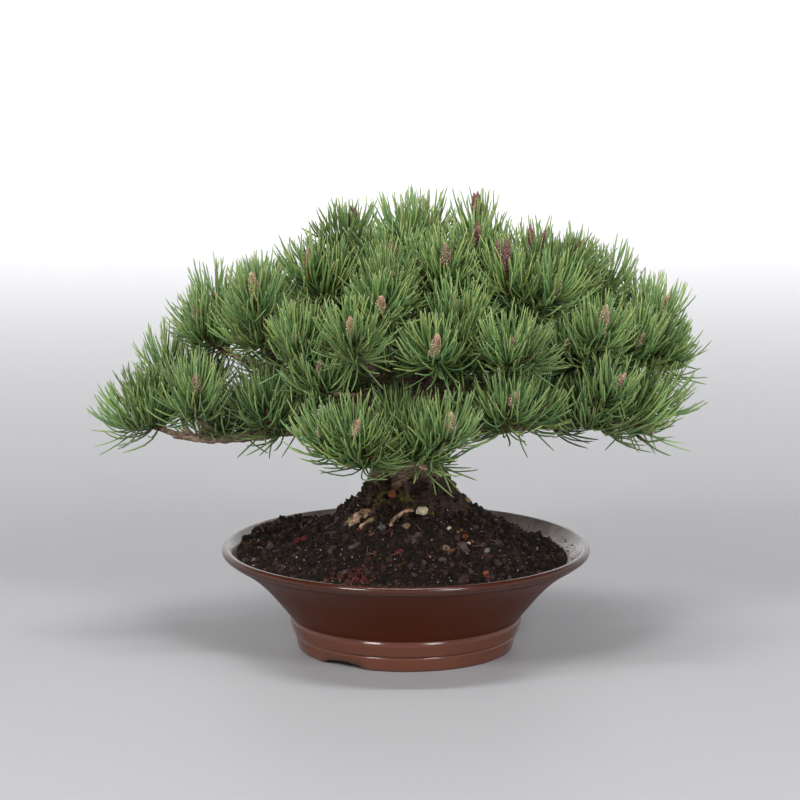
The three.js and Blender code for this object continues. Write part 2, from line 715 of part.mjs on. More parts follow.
function makeSoil(hollows) {
  const { floorRadius, floorTop, filletWidth, filletHeight } = POT;
  const profile = [
    new THREE.Vector2(0, floorTop + GAP),
    new THREE.Vector2(floorRadius - GAP, floorTop + GAP),
    new THREE.Vector2(floorRadius + filletWidth - GAP, floorTop + filletHeight + GAP),
  ];
  WALL_STEPS.slice(0, -1).forEach((u) => profile.push(wallPoint(u, POT.wall + GAP)));
  const top = profile.length;
  profile.push(new THREE.Vector2(SOIL.edgeRadius, 0));
  SOIL_RINGS.forEach((r) => profile.push(new THREE.Vector2(r, 0)));
  const lathe = latheUpright(profile);
  const place = lathe.attributes.position;
  for (let i = 0; i < place.count; i++) {
    if (i % profile.length < top) continue;
    place.setZ(i, soilHeight(place.getX(i), place.getY(i)));
  }
  let soil = solidOf(lathe);
  hollows.forEach((hollow) => {
    soil = soil.subtract(hollow);
  });
  return largestBody(soil);
}

// ---- Assembly --------------------------------------------------------------------------------------
const bonsai = new THREE.Group();
bonsai.name = "bonsai_tree_in_pot";

const MATERIALS = {
  pot: new THREE.MeshStandardMaterial({ color: 0x4e2c1e, roughness: 0.35, metalness: 0 }),
  soil: new THREE.MeshStandardMaterial({ color: 0x1e1613, roughness: 0.95, metalness: 0 }),
  bark: new THREE.MeshStandardMaterial({ color: 0x4a3a26, roughness: 0.9, metalness: 0 }),
  needles: new THREE.MeshStandardMaterial({ color: 0x4f7a42, roughness: 0.45, metalness: 0 }),
};

function addPiece(name, solid, material) {
  const mesh = new THREE.Mesh(geometryOf(solid), material);
  mesh.name = name;
  bonsai.add(mesh);
}

deepenCrown();
addFarSide();
for (const limb of Object.values(LIMBS)) limb.curve = smoothCurve(limb.path);
const sprays = Object.keys(LIMBS).flatMap(groupShoots);

// The leader is the trunk's own top, so it has no limb of its own.
const limbs = Object.values(LIMBS).filter((limb) => !limb.isTrunk);
const woodSolids = [
  makeTrunk(0),
  ...ROOTS.map((root) => makeRoot(root, 0)),
  ...limbs.map(makeLimb),
  ...sprays.map(makeTwig),
];
sprays.forEach((spray) => {
  spray.stems = spray.shoots.map((shoot) => makeStem(spray, shoot));
});

// The hollows that the trunk's foot and the roots stand in, with a little room under the foot.
const foot = TRUNK[0];
const footRadius = foot.radius * (1 + ROOT_LOBES.depth) + GAP;
const underFoot = new THREE.CylinderGeometry(footRadius, footRadius, 2 * GAP, 24);
underFoot.rotateX(Math.PI / 2);
underFoot.translate(...foot.at);
const hollows = [makeTrunk(GAP), solidOf(underFoot)];
ROOTS.forEach((root) => hollows.push(makeRoot(root, GAP)));

addPiece("pot", makePot(), MATERIALS.pot);
addPiece("soil", makeSoil(hollows), MATERIALS.soil);
addPiece("trunk_and_branches", wasm.Manifold.union(woodSolids), MATERIALS.bark);

const random = randomFrom(2027);
sprays.forEach((spray) => {
  const needles = spray.shoots.flatMap((shoot) => makeNeedles(spray, shoot, random));
  const joined = wasm.Manifold.union([...spray.stems, ...needles]);
  addPiece(spray.name, largestBody(joined), MATERIALS.needles);
});

// The origin goes to the middle of the bottom of the whole object's box.
const box = new THREE.Box3().setFromObject(bonsai);
const middle = box.getCenter(new THREE.Vector3());
bonsai.children.forEach((mesh) => mesh.position.set(-middle.x, -middle.y, 0));

export default bonsai;
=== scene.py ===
import math
from itertools import combinations
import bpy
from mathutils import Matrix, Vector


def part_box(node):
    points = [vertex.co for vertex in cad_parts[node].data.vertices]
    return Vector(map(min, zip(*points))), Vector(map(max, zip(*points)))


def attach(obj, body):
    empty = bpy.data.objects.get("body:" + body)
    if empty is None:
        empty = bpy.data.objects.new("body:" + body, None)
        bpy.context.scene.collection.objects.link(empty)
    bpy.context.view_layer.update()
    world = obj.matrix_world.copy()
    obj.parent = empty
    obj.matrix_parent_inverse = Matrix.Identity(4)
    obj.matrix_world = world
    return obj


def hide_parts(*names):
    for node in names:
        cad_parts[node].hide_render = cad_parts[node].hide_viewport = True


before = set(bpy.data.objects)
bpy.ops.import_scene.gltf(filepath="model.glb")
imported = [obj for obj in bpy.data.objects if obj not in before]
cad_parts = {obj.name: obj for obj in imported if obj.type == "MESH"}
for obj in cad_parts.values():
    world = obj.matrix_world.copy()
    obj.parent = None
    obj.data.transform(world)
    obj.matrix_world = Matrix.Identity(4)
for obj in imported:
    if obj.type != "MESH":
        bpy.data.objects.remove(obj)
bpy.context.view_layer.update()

from types import SimpleNamespace as Values

import bpy
import numpy as np
from mathutils import Vector, kdtree, noise

# A pine grown as a bonsai, in a round flared pot of glossy brown plastic, filled with dark soil.
# The layout is in millimetres from the pot's axis and the surface that the pot stands on, with +Z up
# and the viewer's side at -Y. A mesh's points are turned into metres in the row's frame when it is made.
MM = 0.001
pot_low, pot_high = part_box("pot")
POT_AXIS = np.array([(pot_low.x + pot_high.x) / 2, (pot_low.y + pot_high.y) / 2, 0.0])
UP = np.array([0.0, 0.0, 1.0])
# Short names for two functions that are called in many places.
norm = np.linalg.norm
seeded = np.random.default_rng
GOLDEN_ANGLE = math.radians(137.5)

# ---- Layout ----------------------------------------------------------
# The pot, the trunk, the limbs and the shoots have the same values as in the part's source. The roots,
# the soil's heap, the moss and everything loose are the scene's own.
POT = Values(
    rim_radius=150, height=84, wall=4.5, waist_radius=93.6,
    waist_height=26, flare_top=75.5, lip_radius=3.6, foot_radius=88.4,
    foot_inner_radius=79, foot_height=12, band_radius=94.8, band_foot_radius=92,
    shoulder_height=23.5, floor_underside=6.5, floor_top=12, floor_radius=80,
)
FOOT_NOTCH = Values(count=3, width=46, height=5, first_angle=-124.8)
DRAIN_HOLE = Values(count=3, radius=7, distance=45, first_angle=30)
SOIL = Values(mound_height=113, mound_radius=50, lump=1.6)
SOIL_HEAP = Values(angle=146, spread=24, height=6)

# The trunk's centre line: place and radius.
TRUNK = [
    ((3, 2, 66), 36), ((3, 2, 92), 47), ((4, 1, 111), 53), ((3, 0, 119), 47),
    ((2, 0, 129), 40), ((0, 0, 146), 31), ((0, 0, 164), 24), ((5, 1, 190), 17),
    ((12, 3, 222), 12), ((18, 5, 256), 7.5), ((24, 4, 290), 3.6),
]
# The mossy patch on the trunk's foot.
MOSS = Values(middle=(-17, -44, 121), reach=(26, 34, 20))
# Bare surface roots: centre line, and the radius at both ends.
ROOTS = [
    ([(-16, -18, 113), (-30, -33, 117), (-39, -39, 114.5), (-46, -42, 108), (-50, -43, 97)], (3.8, 3.4)),
    ([(-14, -28, 111), (-27, -43, 114), (-33, -46.5, 111), (-38, -47.5, 106), (-41, -48, 96)], (2.2, 2.0)),
    ([(9, -36, 119), (0, -47, 122), (-6, -50, 119), (-11, -52, 114.5), (-14, -53, 105)], (1.5, 1.8)),
]

# Limbs: centre line from inside the trunk outwards, and the radius at both ends. A front limb has a
# twin on the far side.
LIMBS = {
    "low_left": (
        [
            (-6, -2, 165), (-45, -12, 177), (-85, -20, 184),
            (-120, -20, 180), (-154, -15, 174), (-188, -9, 177),
        ],
        (11, 3.2),
    ),
    "mid_left": ([(0, 0, 188), (-50, -6, 208), (-95, -6, 226), (-130, 2, 236)], (9, 2.6)),
    "high_left": ([(10, 2, 212), (-20, -3, 243), (-46, -4, 264), (-68, -6, 274)], (8, 2.6)),
    "low_right": ([(6, 0, 172), (60, -18, 184), (110, -26, 190), (150, -33, 194)], (11, 2.8)),
    "mid_right": ([(10, 2, 204), (70, -12, 220), (120, -20, 229), (162, -12, 236)], (9, 2.6)),
    "high_right": ([(14, 4, 234), (60, -2, 260), (98, -5, 273), (126, 0, 280)], (7, 2.6)),
    "front_left": ([(-3, -6, 160), (-16, -36, 168), (-26, -60, 171)], (8, 2.6)),
    "front_centre": ([(5, -8, 168), (13, -38, 175), (19, -62, 178)], (7, 2.6)),
    "upper_front_left": ([(2, -4, 192), (-20, -30, 210), (-36, -46, 218)], (7, 2.6)),
    "upper_front": ([(8, -4, 204), (17, -34, 221), (22, -58, 230)], (7, 2.6)),
    "front_right": ([(8, -6, 186), (42, -34, 192), (64, -54, 192)], (8, 2.6)),
    "leader": ([(12, 3, 222), (18, 5, 256), (24, 4, 290)], (10, 3.6)),
}

# Shoots of the viewer's side: where the year's growth begins (X, Y, Z), the tip of its bud (X, Y, Z), and
# the bud's kind.
SHOOTS = {
    "low_left": [
        (-218, -5, 182, -235, -5, 186, "small"), (-194, 24, 222, -198, 27, 238, "small"),
        (-200, 10, 191, -205, 12, 207, "small"), (-166, -46, 211, -166, -55, 229, "red"),
        (-110, -42, 202, -112, -47, 218, "small"), (-82, 4, 209, -85, 4, 226, "small"),
    ],
    "mid_left": [
        (-163, 0, 258, -170, 0, 277, "red"), (-152, 14, 273, -155, 16, 290, "small"),
        (-119, -32, 256, -133, -37, 263, "small"), (-118, -42, 290, -119, -49, 315, "candle"),
        (-83, -68, 254, -87, -73, 270, "small"),
    ],
    "high_left": [
        (-77, -17, 305, -79, -19, 325, "red"), (-43, 4, 328, -42, 4, 355, "purple"),
        (-54, -18, 300, -56, -20, 314, "red"), (-13, -46, 299, -14, -53, 313, "candle"),
        (-20, -70, 284, -21, -80, 299, "candle"), (-8, -24, 314, -11, -26, 333, "red"),
    ],
    "front_left": [
        (-65, -96, 189, -67, -103, 202, "candle"), (-41, -110, 193, -37, -117, 212, "candle"),
        (-7, -76, 193, -6, -82, 207, "red"), (-33, -88, 173, -49, -93, 169, "small"),
    ],
    "front_centre": [
        (34, -114, 197, 35, -122, 217, "candle"), (5, -94, 176, 15, -104, 167, "small"),
        (14, -90, 183, 21, -104, 190, "small"),
    ],
    "upper_front_left": [
        (-65, -80, 231, -67, -88, 246, "red"), (-41, -90, 266, -44, -98, 284, "candle"),
        (-12, -46, 246, -12, -49, 263, "small"),
    ],
    "upper_front": [
        (21, -98, 254, 23, -106, 273, "candle"), (38, -66, 279, 37, -70, 294, "red"),
        (47, -57, 276, 48, -61, 292, "red"), (50, -57, 240, 55, -62, 255, "small"),
    ],
    "front_right": [
        (80, -100, 215, 86, -108, 230, "candle"), (100, -68, 205, 113, -73, 214, "small"),
        (79, -92, 257, 80, -99, 269, "red"), (68, -54, 248, 66, -58, 264, "small"),
    ],
    "leader": [
        (15, 10, 338, 14, 10, 367, "candle"), (-1, -12, 333, -5, -12, 349, "small"),
        (31, -42, 310, 30, -47, 332, "red"), (15, -32, 306, 13, -36, 322, "small"),
    ],
    "high_right": [
        (58, 0, 336, 57, 0, 366, "purple"), (66, -7, 316, 64, -7, 342, "red"),
        (53, -24, 317, 56, -27, 343, "purple"), (77, -46, 304, 77, -52, 332, "purple"),
        (100, -18, 314, 104, -21, 341, "purple"), (132, -2, 307, 138, -2, 327, "purple"),
        (114, -47, 291, 120, -52, 306, "small"), (163, 13, 290, 167, 15, 306, "small"),
    ],
    "mid_right": [
        (151, -68, 266, 153, -75, 292, "candle"), (126, -55, 250, 125, -63, 263, "red"),
        (201, -12, 269, 214, -14, 290, "candle"), (189, 13, 268, 190, 16, 285, "small"),
        (204, -18, 237, 219, -20, 245, "small"), (178, -42, 249, 187, -47, 265, "small"),
    ],
    "low_right": [
        (159, -76, 223, 168, -84, 242, "candle"), (195, -39, 204, 213, -41, 209, "small"),
        (180, -60, 195, 196, -66, 191, "small"), (133, -62, 201, 147, -69, 213, "red"),
    ],
}

CROWN = Values(depth=1.12, upper_depth=0.5, upper_from=225, upper_to=320, view_slope=0.19)
BACK = Values(nearest=57, depth_share=0.96, lowest=186, height_share=0.84, side_shift=7)
SPRAY_REACH = 46
SHOOTS_PER_SPRAY = 3
BUD_ROOM = 8
STEM = Values(radius=1.9, below=20, twig_radius=2.3, thickest=4.4, limb_share=0.8, slant=0.5)
FORK_LENGTH = 6


def vec(place):
    return np.array(place, float)


def unit(vector):
    return vector / np.maximum(norm(vector, axis=-1, keepdims=True), 1e-9)


def smoothstep(low, high, value):
    t = np.clip((np.asarray(value, float) - low) / (high - low), 0, 1)
    return t * t * (3 - 2 * t)


def circle(sides):
    """Evenly spaced angles round a circle."""
    return np.arange(sides) * 2 * math.pi / sides


def polar(radius, angle):
    return radius * np.cos(angle), radius * np.sin(angle)


def walked_along(line):
    """How far each point of a line lies from its first, along the line."""
    return np.concatenate([[0], np.cumsum(norm(np.diff(line, axis=0), axis=1))])


def columns_at(place, steps, values):
    """The rows of values between steps, read off at a place."""
    return np.stack([np.interp(place, steps, values[:, k]) for k in range(3)], axis=-1)


def random_from(seed):
    """The part's source draws the same seeded numbers from 0 to 1."""
    mask = 0xFFFFFFFF
    state = seed

    def draw():
        nonlocal state
        state = (state + 0x6D2B79F5) & mask
        mixed = ((state ^ (state >> 15)) * (1 | state)) & mask
        mixed = ((mixed + (((mixed ^ (mixed >> 7)) * (61 | mixed)) & mask)) & mask) ^ mixed
        return (mixed ^ (mixed >> 14)) / (mask + 1)

    return draw


class Curve:
    """A smooth curve through places, resampled at even distances."""

    def __init__(self, places, samples=41):
        p = np.array(places, float)
        p = np.vstack([2 * p[0] - p[1], p, 2 * p[-1] - p[-2]])
        fine = []
        for a, b, c, d in zip(p, p[1:], p[2:], p[3:]):
            gap_a, gap_b, gap_c = (math.sqrt(norm(v - u)) for u, v in ((a, b), (b, c), (c, d)))
            leave = ((b - a) / gap_a - (c - a) / (gap_a + gap_b) + (c - b) / gap_b) * gap_b
            arrive = ((c - b) / gap_b - (d - b) / (gap_b + gap_c) + (d - c) / gap_c) * gap_b
            t = np.linspace(0, 1, 20, endpoint=False)[:, None]
            fine.append(
                (2 * t**3 - 3 * t**2 + 1) * b
                + (t**3 - 2 * t**2 + t) * leave
                + (3 * t**2 - 2 * t**3) * c
                + (t**3 - t**2) * arrive
            )
        fine = np.vstack([*fine, p[-2]])
        walked = walked_along(fine)
        self.length = walked[-1]
        self.points = columns_at(np.linspace(0, self.length, samples), walked, fine)

    def at(self, share):
        place = np.clip(share, 0, 1) * (len(self.points) - 1)
        return columns_at(place, np.arange(len(self.points)), self.points)

    def closest(self, point):
        nearest = int(np.argmin(norm(self.points - point, axis=1)))
        return self.points[nearest], nearest / (len(self.points) - 1)


def deepened(place):
    x, y, z = place
    stretch = CROWN.depth + CROWN.upper_depth * smoothstep(CROWN.upper_from, CROWN.upper_to, z)
    return vec((x, y * stretch, z - CROWN.view_slope * (stretch - 1) * y))


def behind(place, shift):
    x, y, z = place
    height = BACK.lowest + (z - BACK.lowest) * BACK.height_share if z > BACK.lowest else z
    return vec((x + shift, -y * BACK.depth_share, height))


def whole_crown():
    """The limbs and shoots of both sides, with the far side's repeated from the near side's."""
    limbs = {name: ([deepened(p) for p in path], radii) for name, (path, radii) in LIMBS.items()}
    shoots = {n: [(deepened(r[:3]), deepened(r[3:6]), r[6]) for r in rows] for n, rows in SHOOTS.items()}
    draw = random_from(11)
    for name, rows in list(shoots.items()):
        path, radii = limbs[name]
        has_twin = "front" in name
        twin_name = name.replace("front", "back")
        limb_shift = BACK.side_shift if has_twin else 0
        if has_twin:
            twin_path = [behind(p, limb_shift) for p in path]
            twin_path[0][0] -= limb_shift
            limbs[twin_name] = (twin_path, radii)
        twins = []
        for base, tip, kind in rows:
            if tip[1] >= -BACK.nearest:
                continue
            shift = limb_shift + (draw() - 0.5) * BACK.side_shift
            lean = (draw() - 0.5) * BACK.side_shift
            twins.append((behind(base, shift), behind(tip, shift + lean), kind))
        shoots[twin_name] = twins if has_twin else rows + twins
    curves = {name: Values(curve=Curve(path), radii=radii) for name, (path, radii) in limbs.items()}
    return curves, shoots


def limb_radius(limb, share):
    return limb.radii[0] + (limb.radii[1] - limb.radii[0]) * share**0.7


def group_shoots(name, limb, rows):
    """Neighbouring shoots of one limb make one spray, which starts where its twig ends."""
    left = list(rows)
    sprays = []
    while left:
        shoots = [left.pop(0)]
        while len(shoots) < SHOOTS_PER_SPRAY and left:
            apart = [max(norm(s[0] - other[0]) for s in shoots) for other in left]
            nearest = int(np.argmin(apart))
            if apart[nearest] > SPRAY_REACH:
                break
            shoots.append(left.pop(nearest))
        bases = np.array([s[0] for s in shoots])
        middle = bases.mean(axis=0)
        heading = unit(sum(unit(tip - base) for base, tip, _ in shoots))
        carrier, _ = limb.curve.closest(middle)
        outwards = middle - carrier
        spread = max(norm(bases - middle, axis=1))
        room = max(1, norm(outwards) - limb.radii[0] * 0.6 - BUD_ROOM)
        below = min(STEM.below + spread * 0.8, room)
        start = middle - unit(heading + unit(outwards)) * below
        near, share = limb.curve.closest(start)
        leaves = max(0.04, share - STEM.slant * norm(near - start) / limb.curve.length)
        root = limb.curve.at(leaves)
        sprays.append(Values(
            name=f"{name}_{len(sprays) + 1}",
            shoots=shoots,
            start=start,
            direction=unit(start - root),
            root=root,
            root_radius=min(limb_radius(limb, leaves) * STEM.limb_share, STEM.thickest),
        ))
    return sprays


# ---- Mesh helpers ----------------------------------------------------
def add_object(name, data):
    made = bpy.data.objects.new(name, data)
    bpy.context.scene.collection.objects.link(made)
    return made


class Shape:
    """Points and faces gathered for one mesh, with a tint of three numbers at each point."""

    def __init__(self):
        self.points = []
        self.faces = []
        self.tints = []
        self.slots = []
        self.count = 0

    def add(self, points, faces, tint=(0, 0, 0), slot=0):
        points = np.asarray(points, float).reshape(-1, 3)
        self.points.append(points)
        self.tints.append(np.broadcast_to(np.asarray(tint, float), points.shape))
        for rows in faces if isinstance(faces, list) else [faces]:
            rows = np.asarray(rows, int)
            self.faces.append(rows + self.count)
            self.slots.append(np.full(len(rows), slot))
        self.count += len(points)

    def make(self, name, materials, smooth=True):
        mesh = bpy.data.meshes.new(name)
        points = np.vstack(self.points) * MM + POT_AXIS
        faces = [face for rows in self.faces for face in rows.tolist()]
        mesh.from_pydata(points, [], faces)
        mesh.polygons.foreach_set("material_index", np.concatenate(self.slots))
        mesh.polygons.foreach_set("use_smooth", np.full(len(faces), smooth))
        write_tint(mesh, np.vstack(self.tints))
        mesh.update()
        for material in materials:
            mesh.materials.append(material)
        return add_object(name, mesh)


def write_tint(mesh, values):
    """Three numbers at each point, which the materials read."""
    tint = mesh.color_attributes.new("tint", "FLOAT_COLOR", "POINT")
    tint.data.foreach_set("color", np.hstack([values, np.ones((len(values), 1))]).ravel())


def vectors_of(mesh, key):
    """The place ("co") or the "normal" of each of a mesh's points."""
    values = np.zeros(len(mesh.vertices) * 3)
    mesh.vertices.foreach_get(key, values)
    return values.reshape(-1, 3)


def keep_modified_mesh(piece):
    """Puts what a piece's modifiers make in place of its mesh."""
    graph = bpy.context.evaluated_depsgraph_get()
    mesh = bpy.data.meshes.new_from_object(piece.evaluated_get(graph))
    piece.modifiers.clear()
    old = piece.data
    piece.data = mesh
    bpy.data.meshes.remove(old)
    return mesh


def frames_along(points):
    """Directions along a line, and two directions across it that don't twist."""
    along = unit(np.gradient(points, axis=0))
    side = np.cross(along[0], UP if abs(along[0][2]) < 0.9 else np.array([1.0, 0, 0]))
    across = []
    for tangent in along:
        side = unit(side - tangent * np.dot(side, tangent))
        across.append(side)
    across = np.array(across)
    return along, across, np.cross(along, across)


def tube(points, radii, sides):
    """A tube with a ring of points round each point of a line, closed by a cap at both ends."""
    points = np.asarray(points, float)
    _, across, other = frames_along(points)
    angles = circle(sides)
    radii = np.broadcast_to(np.asarray(radii, float), (len(points),))[:, None, None]
    spokes = across[:, None] * np.cos(angles)[:, None] + other[:, None] * np.sin(angles)[:, None]
    rings = points[:, None] + radii * spokes
    return rings.reshape(-1, 3), closed_faces(len(points), sides)


def ring_faces(rings, sides):
    """The faces between rings of points that lie in a row."""
    here = np.arange(rings - 1)[:, None] * sides + np.arange(sides)
    after = np.roll(here, -1, axis=1)
    return np.stack([here, after, after + sides, here + sides], -1).reshape(-1, 4)


def closed_faces(rings, sides):
    """The same, with a cap on the first ring and on the last."""
    cap = np.arange(sides)[None]
    return [ring_faces(rings, sides), cap[:, ::-1], cap + (rings - 1) * sides]


def fractal(points, size, octaves):
    """Seeded noise from about -1 to 1 at each point, with lumps of the given size."""
    return np.array([noise.fractal(p, 1.0, 2.0, octaves) for p in (np.asarray(points) / size).tolist()])


def cracks(points, size):
    """0 on the borders of cells of the given size, growing inside them."""
    found = (noise.voronoi(p)[0] for p in (np.asarray(points) / size).tolist())
    return np.array([distances[1] - distances[0] for distances in found])


# ---- Materials -------------------------------------------------------
def linear(colour):
    """What a shader takes for a colour given as it is shown, from 0 to 255."""
    shown = np.array(colour) / 255
    values = np.where(shown <= 0.04045, shown / 12.92, ((shown + 0.055) / 1.055) ** 2.4)
    return (*(float(v) for v in values), 1)


class Nodes:
    """A material's node tree, written as short calls. Colours are given as they are shown."""

    def __init__(self, name):
        self.material = bpy.data.materials.new(name)
        self.material.use_nodes = True
        self.tree = self.material.node_tree
        self.shader = self.tree.nodes["Principled BSDF"]

    def node(self, kind, inputs=None, **settings):
        made = self.tree.nodes.new(kind)
        for key, value in settings.items():
            setattr(made, key, value)
        for key, value in (inputs or {}).items():
            self.connect(value, made.inputs[key])
        return made

    def connect(self, value, socket):
        if isinstance(value, bpy.types.NodeSocket):
            self.tree.links.new(value, socket)
        else:
            socket.default_value = value

    def set(self, **inputs):
        for key, value in inputs.items():
            self.connect(value, self.shader.inputs[key.replace("_", " ")])

    def noise(self, scale, detail, roughness=0.55, stretch=None):
        where = self.tree.nodes.new("ShaderNodeTexCoord").outputs["Object"]
        if stretch:
            where = self.node("ShaderNodeMapping", {"Vector": where, "Scale": stretch}).outputs[0]
        inputs = {"Vector": where, "Scale": scale, "Detail": detail, "Roughness": roughness}
        return self.node("ShaderNodeTexNoise", inputs).outputs["Fac"]

    def cells(self, scale, output="Distance"):
        where = self.tree.nodes.new("ShaderNodeTexCoord").outputs["Object"]
        return self.node("ShaderNodeTexVoronoi", {"Vector": where, "Scale": scale}).outputs[output]

    def tint(self):
        made = self.node("ShaderNodeAttribute", attribute_name="tint")
        return self.node("ShaderNodeSeparateColor", {"Color": made.outputs["Color"]}).outputs

    def ramp(self, value, stops):
        made = self.node("ShaderNodeValToRGB", {"Fac": value})
        points = made.color_ramp.elements
        while len(points) < len(stops):
            points.new(0.5)
        for point, (place, colour) in zip(points, stops):
            point.position = place
            point.color = linear(colour) if isinstance(colour, tuple) else (colour, colour, colour, 1)
        return made.outputs["Color"]

    def patches(self, scale, detail, low, high, most=1.0, roughness=0.55):
        """0 where the noise is below low, and most where it is above high."""
        return self.ramp(self.noise(scale, detail, roughness), [(low, 0.0), (high, most)])

    def mix(self, share, one, other):
        made = self.node("ShaderNodeMix", data_type="RGBA")
        for value, socket in ((share, made.inputs[0]), (one, made.inputs[6]), (other, made.inputs[7])):
            self.connect(linear(value) if isinstance(value, tuple) else value, socket)
        return made.outputs[2]

    def math(self, operation, one, other):
        made = self.node("ShaderNodeMath", operation=operation)
        self.connect(one, made.inputs[0])
        self.connect(other, made.inputs[1])
        return made.outputs[0]

    def times(self, one, other):
        return self.math("MULTIPLY", one, other)

    def bump(self, height, strength, distance):
        inputs = {"Height": height, "Strength": strength, "Distance": distance}
        self.set(Normal=self.node("ShaderNodeBump", inputs).outputs[0])


def needle_material():
    m = Nodes("pine_needles")
    along, single, age = m.tint()[:3]
    # Along the needle: darker at its foot, which is painted shade of the crowded tuft, and lighter towards
    # the tip.
    green = m.ramp(along, [
        (0.0, (70, 68, 42)),
        (0.16, (52, 76, 40)),
        (0.5, (112, 149, 84)),
        (0.88, (144, 174, 102)),
        (1.0, (160, 164, 110)),
    ])
    bluish = m.mix(m.ramp(single, [(0.5, 0.0), (0.8, 0.6)]), green, (86, 134, 88))
    yellower = m.mix(m.ramp(single, [(0.0, 0.6), (0.35, 0.0)]), bluish, (168, 176, 96))
    # Older needles, the inner ones most, are darker: partly their own colour, partly painted shade of the
    # crown's inside.
    old = m.mix(m.times(age, 0.8), yellower, (76, 90, 46))
    mottled = m.mix(m.patches(160, 3, 0.4, 0.75, 0.3), old, (150, 166, 96))
    m.set(Base_Color=mottled, Roughness=m.ramp(single, [(0.0, 0.28), (1.0, 0.48)]))
    m.set(Specular_IOR_Level=0.6)
    return m.material


def bud_material():
    m = Nodes("buds")
    along, single, redness = m.tint()[:3]
    brown = m.mix(single, (204, 164, 130), (152, 106, 80))
    red = m.mix(single, (122, 60, 56), (78, 43, 47))
    scale_colour = m.mix(redness, brown, red)
    resin = m.patches(620, 2, 0.48, 0.58)
    resin = m.times(resin, m.ramp(redness, [(0.35, 1.0), (0.9, 0.25)]))
    pale = m.mix(m.times(resin, along), scale_colour, (238, 222, 206))
    m.set(Base_Color=pale, Roughness=0.6)
    m.bump(m.noise(900, 3), 0.4, 0.0004)
    return m.material


def twig_material():
    m = Nodes("young_bark")
    age = m.tint()[2]
    colour = m.mix(age, (138, 96, 58), (96, 80, 66))
    patches = m.mix(m.patches(240, 5, 0.35, 0.7, 0.8), colour, (66, 48, 36))
    m.set(Base_Color=patches, Roughness=0.75)
    m.bump(m.noise(500, 5), 0.6, 0.0006)
    return m.material


def bark_material():
    m = Nodes("old_bark")
    crack, moss, age = m.tint()[:3]
    plates = m.mix(m.noise(140, 5), (104, 86, 70), (62, 48, 38))
    mottled = m.patches(150, 6, 0.36, 0.64, roughness=0.65)
    young = m.mix(mottled, (92, 72, 58), (172, 146, 126))
    scaly = m.ramp(m.noise(260, 3, 0.5, (1, 1, 2.5)), [(0.44, 0.7), (0.52, 0.0)])
    young = m.mix(scaly, young, (62, 46, 36))
    wood = m.mix(age, young, plates)
    dark = m.times(age, m.ramp(crack, [(0.02, 0.8), (0.3, 0.0)]))
    cracked = m.mix(dark, wood, (26, 20, 16))
    patch = m.patches(90, 6, 0.46, 0.58, roughness=0.65)
    green = m.mix(m.noise(300, 3), (78, 74, 32), (132, 124, 60))
    mossy = m.mix(m.times(moss, patch), cracked, green)
    earth = m.node("ShaderNodeAttribute", attribute_name="earth").outputs["Fac"]
    crumbs = m.patches(380, 6, 0.35, 0.65, roughness=0.7)
    crumbly = m.mix(crumbs, (20, 14, 10), (74, 54, 40))
    buried = m.mix(m.times(m.times(moss, patch), 0.85), crumbly, green)
    m.set(Base_Color=m.mix(earth, mossy, buried), Roughness=0.92)
    m.bump(m.noise(420, 8, 0.7), 1.0, 0.0014)
    return m.material


def root_material():
    m = Nodes("bare_roots")
    pink = m.mix(m.patches(150, 4, 0.35, 0.65), (216, 174, 142), (138, 104, 78))
    worn = m.mix(m.patches(420, 5, 0.5, 0.68, 0.8), pink, (92, 72, 52))
    moss = m.patches(110, 5, 0.5, 0.62, 0.75)
    dirt = m.patches(240, 6, 0.46, 0.56, 0.9, roughness=0.7)
    m.set(Base_Color=m.mix(dirt, m.mix(moss, worn, (96, 94, 44)), (40, 30, 24)), Roughness=0.75)
    m.bump(m.noise(500, 6, 0.65), 0.9, 0.001)
    return m.material


def soil_material():
    m = Nodes("humus")
    dark, light = (13, 8, 6), (56, 38, 28)
    grains = m.cells(430, output="Color")
    grey = m.node("ShaderNodeSeparateColor", {"Color": grains}).outputs[0]
    base = m.mix(m.math("POWER", grey, 2.5), dark, light)
    clods = m.mix(m.patches(60, 5, 0.4, 0.7, 0.55), base, dark)
    m.set(Base_Color=clods, Roughness=m.ramp(m.noise(80, 2), [(0.4, 0.7), (0.6, 0.95)]))
    m.set(Specular_IOR_Level=0.25)
    m.bump(m.noise(700, 8, 0.75), 1.0, 0.0015)
    return m.material


def grain_material(name, dark, light, roughness):
    m = Nodes(name)
    single = m.tint()[1]
    colour = m.mix(single, dark, light)
    pitted = m.mix(m.patches(900, 4, 0.45, 0.6, 0.6), colour, dark)
    m.set(Base_Color=pitted, Roughness=roughness)
    m.set(Specular_IOR_Level=0.25)
    m.bump(m.noise(1300, 5, 0.7), 0.8, 0.0006)
    return m.material


